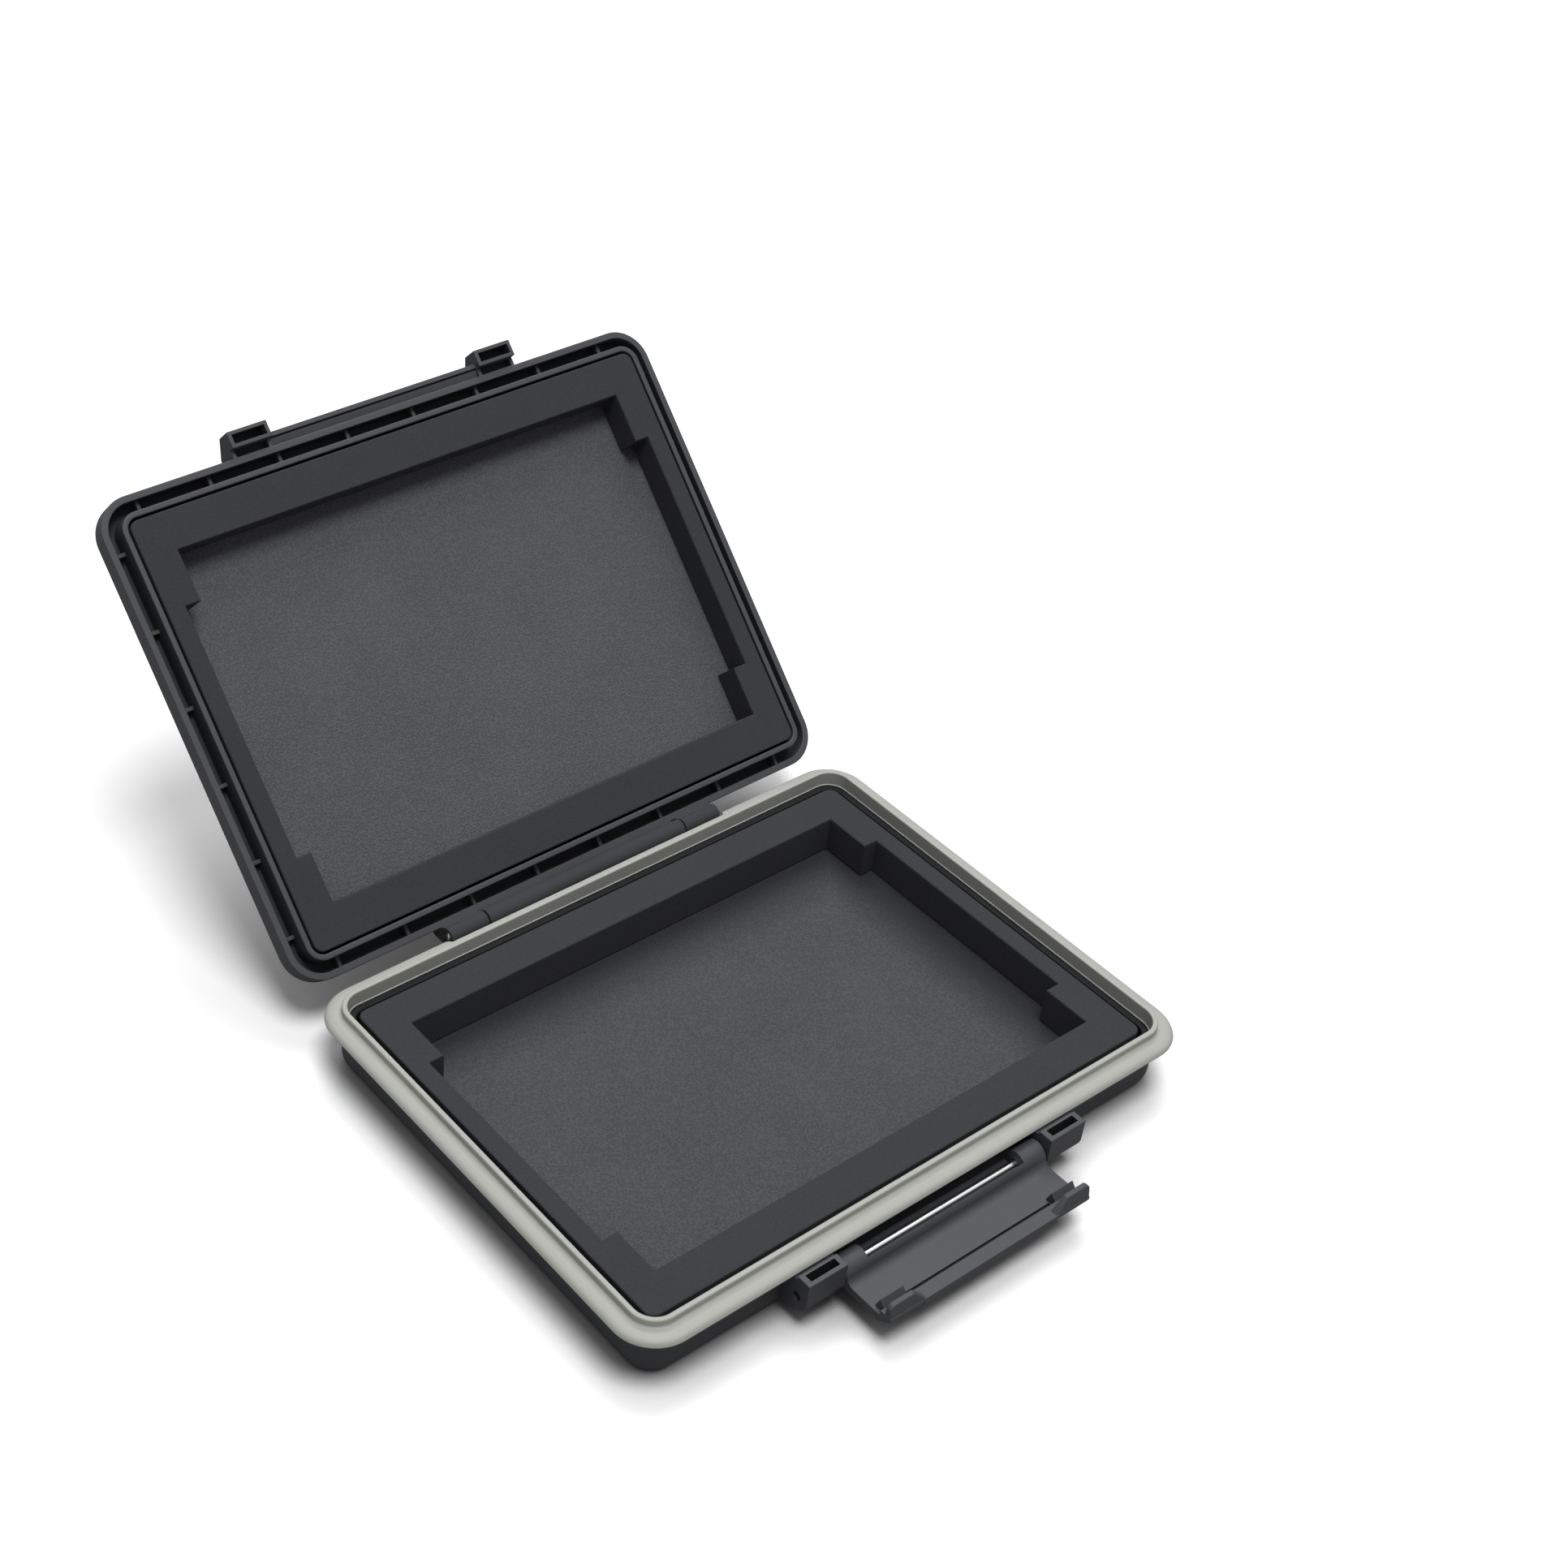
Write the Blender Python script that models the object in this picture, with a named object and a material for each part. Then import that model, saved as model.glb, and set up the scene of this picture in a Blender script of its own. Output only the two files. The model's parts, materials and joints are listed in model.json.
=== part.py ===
"""Hard drive case: a hinged clamshell with a latch, foam inserts and a seal frame.

The case stands open as it is used. X runs along the hinge, +Y points to the hinge, the
latch is at -Y, and the origin is the centre of the base's flat underside. The lid is
modelled closed, about its hinge line, and its empty turns it open.
"""
import math

import bmesh
import bpy
from mathutils import Matrix, Vector

MM = 0.001

# The foam, cut for a drive of 100.35 x 69.85 x 15 mm
CUTOUT_LENGTH = 100.9 * MM
CUTOUT_WIDTH = 69.85 * MM
NOTCH_DEPTH = 3.09 * MM         # finger room past each short end of the drive
NOTCH_WIDTH = 49.7 * MM
FOAM_BORDER_X = 6.94 * MM       # foam left beside the drive's short ends
FOAM_BORDER_Y = 7.56 * MM       # foam left beside its long sides
BASE_POCKET_DEPTH = 7.89 * MM
LID_POCKET_DEPTH = 6.66 * MM
FOAM_BELOW_RIM = 2.51 * MM      # base foam's face under the top of the seal ridge
FOAM_CORNER_RADIUS = 1.92 * MM
FOAM_GAP = 0.8 * MM             # open line between the base foam and its wall
SEAT_GAP = 0.3 * MM             # between pieces that touch
SINK = 0.1 * MM                 # how far a joined shape's edge lies inside its body

# The base
BASE_DEPTH = 13.87 * MM         # underside to the top of the seal ridge
FLOOR_THICKNESS = 1.37 * MM
INNER_WALL = 1.1 * MM
BODY_OFFSET = 1.17 * MM         # lower body, outside the rim line
BAND_OFFSET = 2.23 * MM         # upper band, outside the rim line
BAND_HEIGHT = 2.88 * MM
BAND_WALL = 1.37 * MM
FOOT_CHAMFER_RUN = 1.17 * MM
FOOT_CHAMFER_RISE = 2.13 * MM
GROOVE_DEPTH = 2.2 * MM         # locates the seal frame's tongue

# The seal frame; its inner edge is the rim line that all offsets start from
RIM_RADIUS = 4.12 * MM
RIDGE_THICKNESS = 1.0 * MM
FLANGE_OFFSET = 4.19 * MM
VALLEY_BOTTOM = 0.4 * MM        # outward from the ridge to the lowest line beside it
VALLEY_WIDTH = 1.0 * MM         # outward from the ridge to the flange's crest
VALLEY_DROP = 0.2 * MM          # under the crest
FLANGE_CROWN = ((0.4, 0.22), (0.75, 0.58))  # the round top, as shares of its run and drop
FLANGE_CREST_DROP = 1.03 * MM
FLANGE_EDGE_DROP = 2.47 * MM
FLANGE_EDGE = 0.4 * MM
FRAME_FOOT = 0.24 * MM
TONGUE_THICKNESS = 0.62 * MM

# The lid
LIP_ABOVE = -0.34 * MM          # parting face, from the top of the seal ridge
LIP_INNER_OFFSET = 1.51 * MM
LIP_OUTER_OFFSET = 2.88 * MM
LID_CREST_OFFSET = 2.78 * MM    # where the side wall turns into the slope to the face
LID_CREST_HEIGHT = 4.4 * MM     # over the parting face
LID_HEIGHT = 6.93 * MM          # parting face to the lid's flat face
LID_FACE_OFFSET = 0.24 * MM
LID_SKIN = 0.95 * MM
RING_CLEARANCE = 0.62 * MM      # lid ring inside the seal ridge
RING_THICKNESS = 1.1 * MM
RING_DROP = 1.78 * MM
LID_FOAM_DROP = 1.85 * MM
CHANNEL_DEPTH = 3.64 * MM
RIB_THICKNESS = 0.76 * MM
RIB_CLEARANCE = 1.3 * MM        # rib ends over the seal ridge
RIB_HEIGHT = 1.72 * MM
RIBS_LONG_SIDE = 8
RIBS_SHORT_SIDE = 6
RIB_END_MARGIN_X = 6.69 * MM    # rim line's corner to the first rib, on the long sides
RIB_END_MARGIN_Y = 6.93 * MM    # and on the short sides
FACE_BORDER = 1.99 * MM
BAR_POSITION = 20.1 * MM        # where the raised bar's middle crosses the X axis
BAR_WIDTH = 1.99 * MM
STEP_POSITION = -19.2 * MM      # where the slope to the lower panel starts on the X axis
STEP_WIDTH = 2.2 * MM
PANEL_DEPTH = 0.24 * MM
CORNER_PANEL_DEPTH = 0.62 * MM
PANEL_SLOPE = 0.76 * MM         # width of the sloping edge round a corner panel

# The hinge
HINGE_OUT = 1.89 * MM           # axis outside the lid's rear lip
HINGE_DROP = 2.14 * MM          # axis under the top of the seal ridge
KNUCKLE_RADIUS = 1.82 * MM
CENTRE_BARREL_LENGTH = 47.16 * MM
KNUCKLE_LENGTH = 8.48 * MM
HINGE_PIN_RADIUS = 0.86 * MM
PIN_CLEARANCE = 0.1 * MM
PIN_RECESS = 0.34 * MM
FLANGE_NOTCH_GAP = 0.3 * MM
WEB_RISE = 5.1 * MM             # over the axis, up the lid's rear wall
WEB_TOP_OUT = 0.65 * MM         # web's top outside the rear wall
WEB_WAIST_RISE = 2.37 * MM      # where the web leaves the knuckle's rear
KNUCKLE_TANGENT = 5.0           # degrees, where the web meets the knuckle
BARREL_WEB_LOW = 20.0           # degrees from straight down, under the barrel
BARREL_WEB_TOP = 45.0           # degrees, on the barrel's front
LID_ANGLE = 135.14              # degrees open, as the case stands

# The latch and the lugs beside it
LATCH_PIVOT_OUT = 0.89 * MM     # outside the flange's front edge
LATCH_PIVOT_DROP = 7.21 * MM    # under the top of the seal ridge
LATCH_RADIUS = 2.61 * MM
LATCH_LENGTH = 46.82 * MM
LATCH_PIN_RADIUS = 0.86 * MM
PLATE_TOP = -0.76 * MM          # from the pivot, with the latch lying open
PLATE_BOTTOM = -2.27 * MM
PLATE_REACH = 10.43 * MM
PULL_REACH = 13.15 * MM
PULL_START = 10.4 * MM
PULL_TOP = 0.4 * MM
LIP_WALL_START = 11.53 * MM
LIP_WALL_TOP = 3.0 * MM
LIP_WALL_FROM_X = 17.85 * MM
LIP_WALL_FOOT_X = 15.2 * MM
TOOTH_START = 8.62 * MM
TOOTH_TIP = 9.54 * MM
TOOTH_HEIGHT = 1.78 * MM
TOOTH_FROM_X = 17.37 * MM
TOOTH_TO_X = 22.65 * MM
WINDOW_LENGTH = 36.66 * MM
WINDOW_FRONT = 1.45 * MM        # outward from the pivot
LUG_WIDTH = 8.58 * MM
LUG_GAP = 0.3 * MM              # latch end to lug
LUG_TOP_DROP = 2.66 * MM
LUG_POCKET_MARGIN = 1.1 * MM
LUG_POCKET_FLOOR = 1.51 * MM    # over the pivot
LUG_GUSSET_ANGLE = 250.0        # where the lug's round foot meets its gusset
LID_LUG_GAP = 0.87 * MM         # base lug to lid lug, closed
LID_LUG_SHOULDER = 3.43 * MM    # slope's upper end, in from the lug's front
LID_LUG_SHOULDER_DROP = 1.27 * MM  # under the lid's face
LID_LUG_FRONT_HEIGHT = 3.98 * MM
LID_LUG_BLOCK = 3.3 * MM
LID_LUG_WALL = 0.76 * MM
LID_LUG_POCKET = 3.15 * MM
RAIL_THICKNESS = 0.89 * MM
RAIL_GAP = 0.35 * MM            # rail to the closed latch plate
RAIL_HEIGHT = 1.37 * MM
RAIL_TOP_RISE = 1.48 * MM       # over the parting face
RAIL_SHELF = 0.65 * MM
LATCH_BAY_GAP = 0.48 * MM       # rim wall under the closed latch's end walls
LATCH_BAY_OFFSET = 1.79 * MM    # bay's rear wall, outside the rim line

# Mesh steps
CORNER_STEPS = 12
ROUND_STEPS = 32
OVERLAP = 0.55 * MM             # how far a joined shape runs into its body
MERGE_DISTANCE = 0.001 * MM

# Places that follow from the sizes
CUTOUT_X = CUTOUT_LENGTH / 2
CUTOUT_Y = CUTOUT_WIDTH / 2
FOAM_X = CUTOUT_X + FOAM_BORDER_X
FOAM_Y = CUTOUT_Y + FOAM_BORDER_Y
INNER_OFFSET = -SEAT_GAP - INNER_WALL
RIM_X = FOAM_X + FOAM_GAP - INNER_OFFSET
RIM_Y = FOAM_Y + FOAM_GAP - INNER_OFFSET
FRAME_UNDER_Z = BASE_DEPTH - FLANGE_EDGE_DROP - FLANGE_EDGE
SHELL_TOP_Z = FRAME_UNDER_Z - SEAT_GAP
BAND_BOTTOM_Z = SHELL_TOP_Z - BAND_HEIGHT
GROOVE_Z = SHELL_TOP_Z - GROOVE_DEPTH
LIP_Z = BASE_DEPTH + LIP_ABOVE
RING_OFFSET = -RING_CLEARANCE
RING_Z = BASE_DEPTH - RING_DROP
CHANNEL_Z = LIP_Z + CHANNEL_DEPTH
LID_CREST_Z = LIP_Z + LID_CREST_HEIGHT
HINGE_Y = RIM_Y + LIP_OUTER_OFFSET + HINGE_OUT
HINGE_Z = BASE_DEPTH - HINGE_DROP
LID_TOP_Z = LIP_Z + LID_HEIGHT
LID_INSIDE_Z = LID_TOP_Z - LID_SKIN
LID_FOAM_Z = BASE_DEPTH - LID_FOAM_DROP
LID_PAD_Z = LID_FOAM_Z + LID_POCKET_DEPTH
BASE_FOAM_TOP_Z = BASE_DEPTH - FOAM_BELOW_RIM
BASE_PAD_TOP_Z = BASE_FOAM_TOP_Z - BASE_POCKET_DEPTH
LATCH_Y = -(RIM_Y + FLANGE_OFFSET + LATCH_PIVOT_OUT)
LATCH_Z = BASE_DEPTH - LATCH_PIVOT_DROP
LUG_FRONT_Y = LATCH_Y - LATCH_RADIUS
LUG_INNER_X = LATCH_LENGTH / 2 + LUG_GAP
LUG_OUTER_X = LUG_INNER_X + LUG_WIDTH
LUG_TOP_Z = BASE_DEPTH - LUG_TOP_DROP
LID_LUG_Z = LUG_TOP_Z + LID_LUG_GAP
KNUCKLE_INNER_X = CENTRE_BARREL_LENGTH / 2 + SEAT_GAP
KNUCKLE_OUTER_X = KNUCKLE_INNER_X + KNUCKLE_LENGTH


def clear_scene():
    for item in list(bpy.data.objects):
        bpy.data.objects.remove(item)


def new_collection(name):
    collection = bpy.data.collections.new(name)
    bpy.context.scene.collection.children.link(collection)
    return collection


def make_material(name, colour, roughness, metallic=0.0):
    material = bpy.data.materials.new(name)
    material.use_nodes = True
    shader = material.node_tree.nodes["Principled BSDF"]
    shader.inputs["Base Color"].default_value = (*colour, 1.0)
    shader.inputs["Roughness"].default_value = roughness
    shader.inputs["Metallic"].default_value = metallic
    material.diffuse_color = (*colour, 1.0)
    return material


def make_pivot(name, y, z, turn=0.0):
    """An empty on a joint's axis; what it carries is modelled before it turns."""
    pivot = bpy.data.objects.new(name, None)
    pivot.empty_display_size = 10 * MM
    pivot.location = (0, y, z)
    pivot.rotation_euler = (math.radians(turn), 0, 0)
    PARTS.objects.link(pivot)
    return pivot


def finish(bm, name, collection, pivot=None, material=None):
    """Write a bmesh to an object, hung on its pivot, with round faces shaded smooth."""
    bmesh.ops.recalc_face_normals(bm, faces=bm.faces)
    if pivot:
        bmesh.ops.translate(bm, verts=bm.verts, vec=-pivot.location)
    mesh = bpy.data.meshes.new(name)
    bm.to_mesh(mesh)
    bm.free()
    mesh.shade_smooth()
    mesh.set_sharp_from_angle(angle=math.radians(30))
    item = bpy.data.objects.new(name, mesh)
    item.parent = pivot
    if material:
        mesh.materials.append(material)
    collection.objects.link(item)
    return item


def cutter(bm, name, pivot=None):
    item = finish(bm, name, CUTTERS, pivot)
    item.hide_render = True
    item.display_type = "WIRE"
    return item


def combine(target, tool, operation):
    modifier = target.modifiers.new(tool.name, "BOOLEAN")
    modifier.operation = operation
    modifier.solver = "EXACT"
    modifier.object = tool


def pick(geometry, kind):
    return [item for item in geometry if isinstance(item, kind)]


def corner_centre(side_x, side_y):
    return Vector((side_x * (RIM_X - RIM_RADIUS), side_y * (RIM_Y - RIM_RADIUS), 0))


def swept(profile, closed):
    """Sweep a section of (offset, z) points round the rim line: a turn, then a straight run."""
    bm = bmesh.new()
    start = Vector((RIM_X, RIM_Y - RIM_RADIUS, 0))
    verts = [bm.verts.new(start + Vector((offset, 0, z))) for offset, z in profile]
    ends = verts[1:] + verts[:1] if closed else verts[1:]
    section = verts + [bm.edges.new(pair) for pair in zip(verts, ends)]
    corners = [corner_centre(1, 1), corner_centre(-1, 1), corner_centre(-1, -1), corner_centre(1, -1)]
    for here, there in zip(corners, corners[1:] + corners[:1]):
        turned = bmesh.ops.spin(bm, geom=section, cent=here, axis=(0, 0, 1),
                                angle=math.radians(90), steps=CORNER_STEPS)
        edges = pick(turned["geom_last"], bmesh.types.BMEdge)
        run = bmesh.ops.extrude_edge_only(bm, edges=edges)["geom"]
        verts = pick(run, bmesh.types.BMVert)
        bmesh.ops.translate(bm, verts=verts, vec=there - here)
        section = verts + pick(run, bmesh.types.BMEdge)
    bmesh.ops.remove_doubles(bm, verts=bm.verts, dist=MERGE_DISTANCE)
    bmesh.ops.holes_fill(bm, edges=[edge for edge in bm.edges if edge.is_boundary])
    return bm


def add_box(bm, low, high):
    low, high = Vector(low), Vector(high)
    size = Matrix.Diagonal((*(high - low), 1))
    place = Matrix.Translation((low + high) / 2)
    bmesh.ops.create_cube(bm, size=1, matrix=place @ size)


def add_prism(bm, outline, start, end):
    """Extrude an outline of (y, z) points along X."""
    face = bm.faces.new([bm.verts.new((start, y, z)) for y, z in outline])
    moved = bmesh.ops.extrude_face_region(bm, geom=[face])["geom"]
    far = pick(moved, bmesh.types.BMVert)
    bmesh.ops.translate(bm, verts=far, vec=(end - start, 0, 0))


def add_rod(bm, radius, x_from, x_to, y, z):
    turn = Matrix.Rotation(math.radians(90), 4, "Y")
    place = Matrix.Translation(((x_from + x_to) / 2, y, z))
    bmesh.ops.create_cone(bm, cap_ends=True, segments=ROUND_STEPS, radius1=radius,
                          radius2=radius, depth=x_to - x_from, matrix=place @ turn)


def on_both_sides(add, inner, outer):
    """Repeat a shape between two X stations at +X and, mirrored, at -X."""
    add(inner, outer)
    add(-outer, -inner)


def make_base_shell():
    profile = [
        (BODY_OFFSET - FOOT_CHAMFER_RUN, 0),
        (BODY_OFFSET, FOOT_CHAMFER_RISE),
        (BODY_OFFSET, BAND_BOTTOM_Z),
        (BAND_OFFSET, BAND_BOTTOM_Z),
        (BAND_OFFSET, SHELL_TOP_Z),
        (BAND_OFFSET - BAND_WALL, SHELL_TOP_Z),
        (BAND_OFFSET - BAND_WALL, GROOVE_Z),
        (-SEAT_GAP, GROOVE_Z),
        (-SEAT_GAP, SHELL_TOP_Z),
        (INNER_OFFSET, SHELL_TOP_Z),
        (INNER_OFFSET, FLOOR_THICKNESS),
    ]
    shell = finish(swept(profile, False), "base_shell", PARTS, None, DARK)
    combine(shell, base_fittings(), "UNION")
    combine(shell, base_openings(), "DIFFERENCE")


def base_fittings():
    """The two latch lugs and the hinge's centre barrel with its web."""
    bm = bmesh.new()
    wall_y = -(RIM_Y + BODY_OFFSET - SEAT_GAP)
    under_flange_z = SHELL_TOP_Z - SEAT_GAP
    clear_of_flange_y = -(RIM_Y + FLANGE_OFFSET + 2 * SEAT_GAP)
    lug = [
        (wall_y, under_flange_z),
        (clear_of_flange_y, under_flange_z),
        (clear_of_flange_y, LUG_TOP_Z),
        (LUG_FRONT_Y, LUG_TOP_Z),
    ]
    steps = ROUND_STEPS // 4
    for step in range(steps + 1):
        angle = math.radians(180 + (LUG_GUSSET_ANGLE - 180) * step / steps)
        lug.append((LATCH_Y + LATCH_RADIUS * math.cos(angle),
                    LATCH_Z + LATCH_RADIUS * math.sin(angle)))
    foot_y, foot_z = lug[-1]
    slope = 1 / math.tan(math.radians(LUG_GUSSET_ANGLE))
    lug.append((wall_y, foot_z - (wall_y - foot_y) * slope))
    on_both_sides(lambda a, b: add_prism(bm, lug, a, b), LUG_INNER_X, LUG_OUTER_X)

    barrel_end = CENTRE_BARREL_LENGTH / 2
    web = [
        (-wall_y, BAND_BOTTOM_Z + SEAT_GAP),
        (HINGE_Y + KNUCKLE_RADIUS * math.sin(math.radians(BARREL_WEB_LOW)),
         HINGE_Z - KNUCKLE_RADIUS * math.cos(math.radians(BARREL_WEB_LOW)) + SINK),
        (HINGE_Y, HINGE_Z),
        (HINGE_Y - KNUCKLE_RADIUS * math.cos(math.radians(BARREL_WEB_TOP)), under_flange_z),
        (-wall_y, under_flange_z),
    ]
    add_prism(bm, web, -barrel_end + SEAT_GAP, barrel_end - SEAT_GAP)
    fittings = cutter(bm, "base_lugs_and_web")
    bm = bmesh.new()
    add_rod(bm, KNUCKLE_RADIUS, -barrel_end, barrel_end, HINGE_Y, HINGE_Z)
    combine(fittings, cutter(bm, "base_barrel"), "UNION")
    return fittings


def base_openings():
    """Pin bores and the open pockets in the tops of the lugs."""
    bm = bmesh.new()
    bore = HINGE_PIN_RADIUS + PIN_CLEARANCE
    add_rod(bm, bore, -CENTRE_BARREL_LENGTH, CENTRE_BARREL_LENGTH, HINGE_Y, HINGE_Z)
    bore = LATCH_PIN_RADIUS + PIN_CLEARANCE
    add_rod(bm, bore, -LUG_OUTER_X - OVERLAP, LUG_OUTER_X + OVERLAP, LATCH_Y, LATCH_Z)
    front = LUG_FRONT_Y + LUG_POCKET_MARGIN - SEAT_GAP
    rear = LATCH_Y - SEAT_GAP
    floor_z = LATCH_Z + LUG_POCKET_FLOOR

    def pocket(a, b):
        inner, outer = a + LUG_POCKET_MARGIN, b - LUG_POCKET_MARGIN
        add_box(bm, (inner, front, floor_z), (outer, rear, LUG_TOP_Z + OVERLAP))

    on_both_sides(pocket, LUG_INNER_X, LUG_OUTER_X)
    return cutter(bm, "base_bores_and_pockets")


def make_seal_frame():
    crest_z = BASE_DEPTH - FLANGE_CREST_DROP
    edge_z = BASE_DEPTH - FLANGE_EDGE_DROP
    tongue_in = (BAND_OFFSET - BAND_WALL - SEAT_GAP - TONGUE_THICKNESS) / 2
    tongue_z = GROOVE_Z + SEAT_GAP
    crest = RIDGE_THICKNESS + VALLEY_WIDTH
    profile = [
        (0, BASE_DEPTH),
        (RIDGE_THICKNESS, BASE_DEPTH),
        (RIDGE_THICKNESS, crest_z + VALLEY_DROP),
        (RIDGE_THICKNESS + VALLEY_BOTTOM, crest_z - VALLEY_DROP),
        (crest, crest_z),
    ]
    for run, drop in FLANGE_CROWN:
        profile.append((crest + (FLANGE_OFFSET - crest) * run, crest_z - (crest_z - edge_z) * drop))
    profile += [
        (FLANGE_OFFSET, edge_z),
        (FLANGE_OFFSET, FRAME_UNDER_Z),
        (tongue_in + TONGUE_THICKNESS, FRAME_UNDER_Z),
        (tongue_in + TONGUE_THICKNESS, tongue_z),
        (tongue_in, tongue_z),
        (tongue_in, FRAME_UNDER_Z),
        (-FRAME_FOOT, FRAME_UNDER_Z),
        (-FRAME_FOOT, FRAME_UNDER_Z + FRAME_FOOT / 2),
        (0, FRAME_UNDER_Z + FRAME_FOOT),
    ]
    frame = finish(swept(profile, True), "seal_frame", PARTS, None, GREY)
    bm = bmesh.new()
    half = KNUCKLE_OUTER_X + FLANGE_NOTCH_GAP
    notch_y = HINGE_Y - KNUCKLE_RADIUS - FLANGE_NOTCH_GAP
    add_box(bm, (-half, notch_y, 0), (half, HINGE_Y + OVERLAP, BASE_DEPTH + OVERLAP))
    combine(frame, cutter(bm, "hinge_notch"), "DIFFERENCE")


def outline_object(name, splines, bottom_z, top_z, pivot, material):
    """A flat outline with its holes, extruded to a block."""
    curve = bpy.data.curves.new(name, "CURVE")
    curve.dimensions = "2D"
    curve.fill_mode = "BOTH"
    curve.extrude = (top_z - bottom_z) / 2
    for points in splines:
        spline = curve.splines.new("POLY")
        spline.points.add(len(points) - 1)
        for target, (x, y) in zip(spline.points, points):
            target.co = (x, y, 0, 1)
        spline.use_cyclic_u = True
    middle = Vector((0, 0, (bottom_z + top_z) / 2))
    item = bpy.data.objects.new(name, curve)
    item.parent = pivot
    item.location = middle - pivot.location if pivot else middle
    curve.materials.append(material)
    PARTS.objects.link(item)


def round_rectangle(half_x, half_y, radius):
    points = []
    steps = CORNER_STEPS // 2
    for quarter in range(4):
        side_x = 1 if quarter in (0, 3) else -1
        side_y = 1 if quarter in (0, 1) else -1
        for step in range(steps + 1):
            angle = math.radians(90) * (quarter + step / steps)
            points.append((side_x * (half_x - radius) + radius * math.cos(angle),
                           side_y * (half_y - radius) + radius * math.sin(angle)))
    return points


def drive_outline():
    """The drive's cut-out, with finger room at the middle of both short ends."""
    corner = [
        (CUTOUT_X + NOTCH_DEPTH, NOTCH_WIDTH / 2),
        (CUTOUT_X, NOTCH_WIDTH / 2),
        (CUTOUT_X, CUTOUT_Y),
    ]
    top = corner + [(-x, y) for x, y in reversed(corner)]
    return top + [(-x, -y) for x, y in top]


def make_foams(lid):
    foam = round_rectangle(FOAM_X, FOAM_Y, FOAM_CORNER_RADIUS)
    outline = [foam, drive_outline()]
    ring_bottom_z = BASE_PAD_TOP_Z + SEAT_GAP
    outline_object("base_foam", outline, ring_bottom_z, BASE_FOAM_TOP_Z, None, FOAM)
    grow = INNER_OFFSET - SEAT_GAP
    pad = round_rectangle(RIM_X + grow, RIM_Y + grow, RIM_RADIUS + grow)
    pad_bottom_z = FLOOR_THICKNESS + SEAT_GAP
    outline_object("base_floor_pad", [pad], pad_bottom_z, BASE_PAD_TOP_Z, None, FOAM)
    outline_object("lid_foam", outline, LID_FOAM_Z, LID_PAD_Z - SEAT_GAP, lid, FOAM)
    grow = RING_OFFSET - RING_THICKNESS - SEAT_GAP
    pad = round_rectangle(RIM_X + grow, RIM_Y + grow, RIM_RADIUS + grow)
    pad_top_z = LID_INSIDE_Z - SEAT_GAP
    outline_object("lid_floor_pad", [pad], LID_PAD_Z, pad_top_z, lid, FOAM)


def make_lid_shell(lid):
    ring_inner = RING_OFFSET - RING_THICKNESS
    profile = [
        (LID_FACE_OFFSET, LID_TOP_Z),
        (LID_CREST_OFFSET, LID_CREST_Z),
        (LIP_OUTER_OFFSET, LIP_Z),
        (LIP_INNER_OFFSET, LIP_Z),
        (LIP_INNER_OFFSET, CHANNEL_Z),
        (RING_OFFSET, CHANNEL_Z),
        (RING_OFFSET, RING_Z),
        (ring_inner, RING_Z),
        (ring_inner, LID_INSIDE_Z),
    ]
    shell = finish(swept(profile, False), "lid_shell", PARTS, lid, DARK)
    combine(shell, latch_bay(lid), "DIFFERENCE")
    combine(shell, channel_ribs(lid), "UNION")
    combine(shell, lid_fittings(lid), "UNION")
    combine(shell, lid_openings(lid), "DIFFERENCE")
    combine(shell, face_panels(lid), "DIFFERENCE")


def latch_bay(lid):
    """Room in the lid's slope for the closed latch's end walls, between the lugs."""
    bm = bmesh.new()
    floor_z = LATCH_Z + LIP_WALL_START - LATCH_BAY_GAP
    back_y = -(RIM_Y + LATCH_BAY_OFFSET)
    add_box(bm, (-LUG_INNER_X, LUG_FRONT_Y, floor_z), (LUG_INNER_X, back_y, LID_TOP_Z + OVERLAP))
    return cutter(bm, "latch_bay", lid)


def channel_ribs(lid):
    """Ribs across the channel that takes the seal ridge."""
    bm = bmesh.new()
    inner = RING_OFFSET - RING_THICKNESS / 2
    outer = LIP_INNER_OFFSET + RING_THICKNESS / 2
    low = BASE_DEPTH + RIB_CLEARANCE
    high = low + RIB_HEIGHT
    half = RIB_THICKNESS / 2
    for index in range(RIBS_LONG_SIDE):
        x = (RIM_X - RIB_END_MARGIN_X) * (2 * index / (RIBS_LONG_SIDE - 1) - 1)
        add_box(bm, (x - half, RIM_Y + inner, low), (x + half, RIM_Y + outer, high))
        add_box(bm, (x - half, -RIM_Y - outer, low), (x + half, -RIM_Y - inner, high))
    for index in range(RIBS_SHORT_SIDE):
        y = (RIM_Y - RIB_END_MARGIN_Y) * (2 * index / (RIBS_SHORT_SIDE - 1) - 1)
        add_box(bm, (RIM_X + inner, y - half, low), (RIM_X + outer, y + half, high))
        add_box(bm, (-RIM_X - outer, y - half, low), (-RIM_X - inner, y + half, high))
    return cutter(bm, "channel_ribs", lid)


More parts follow.
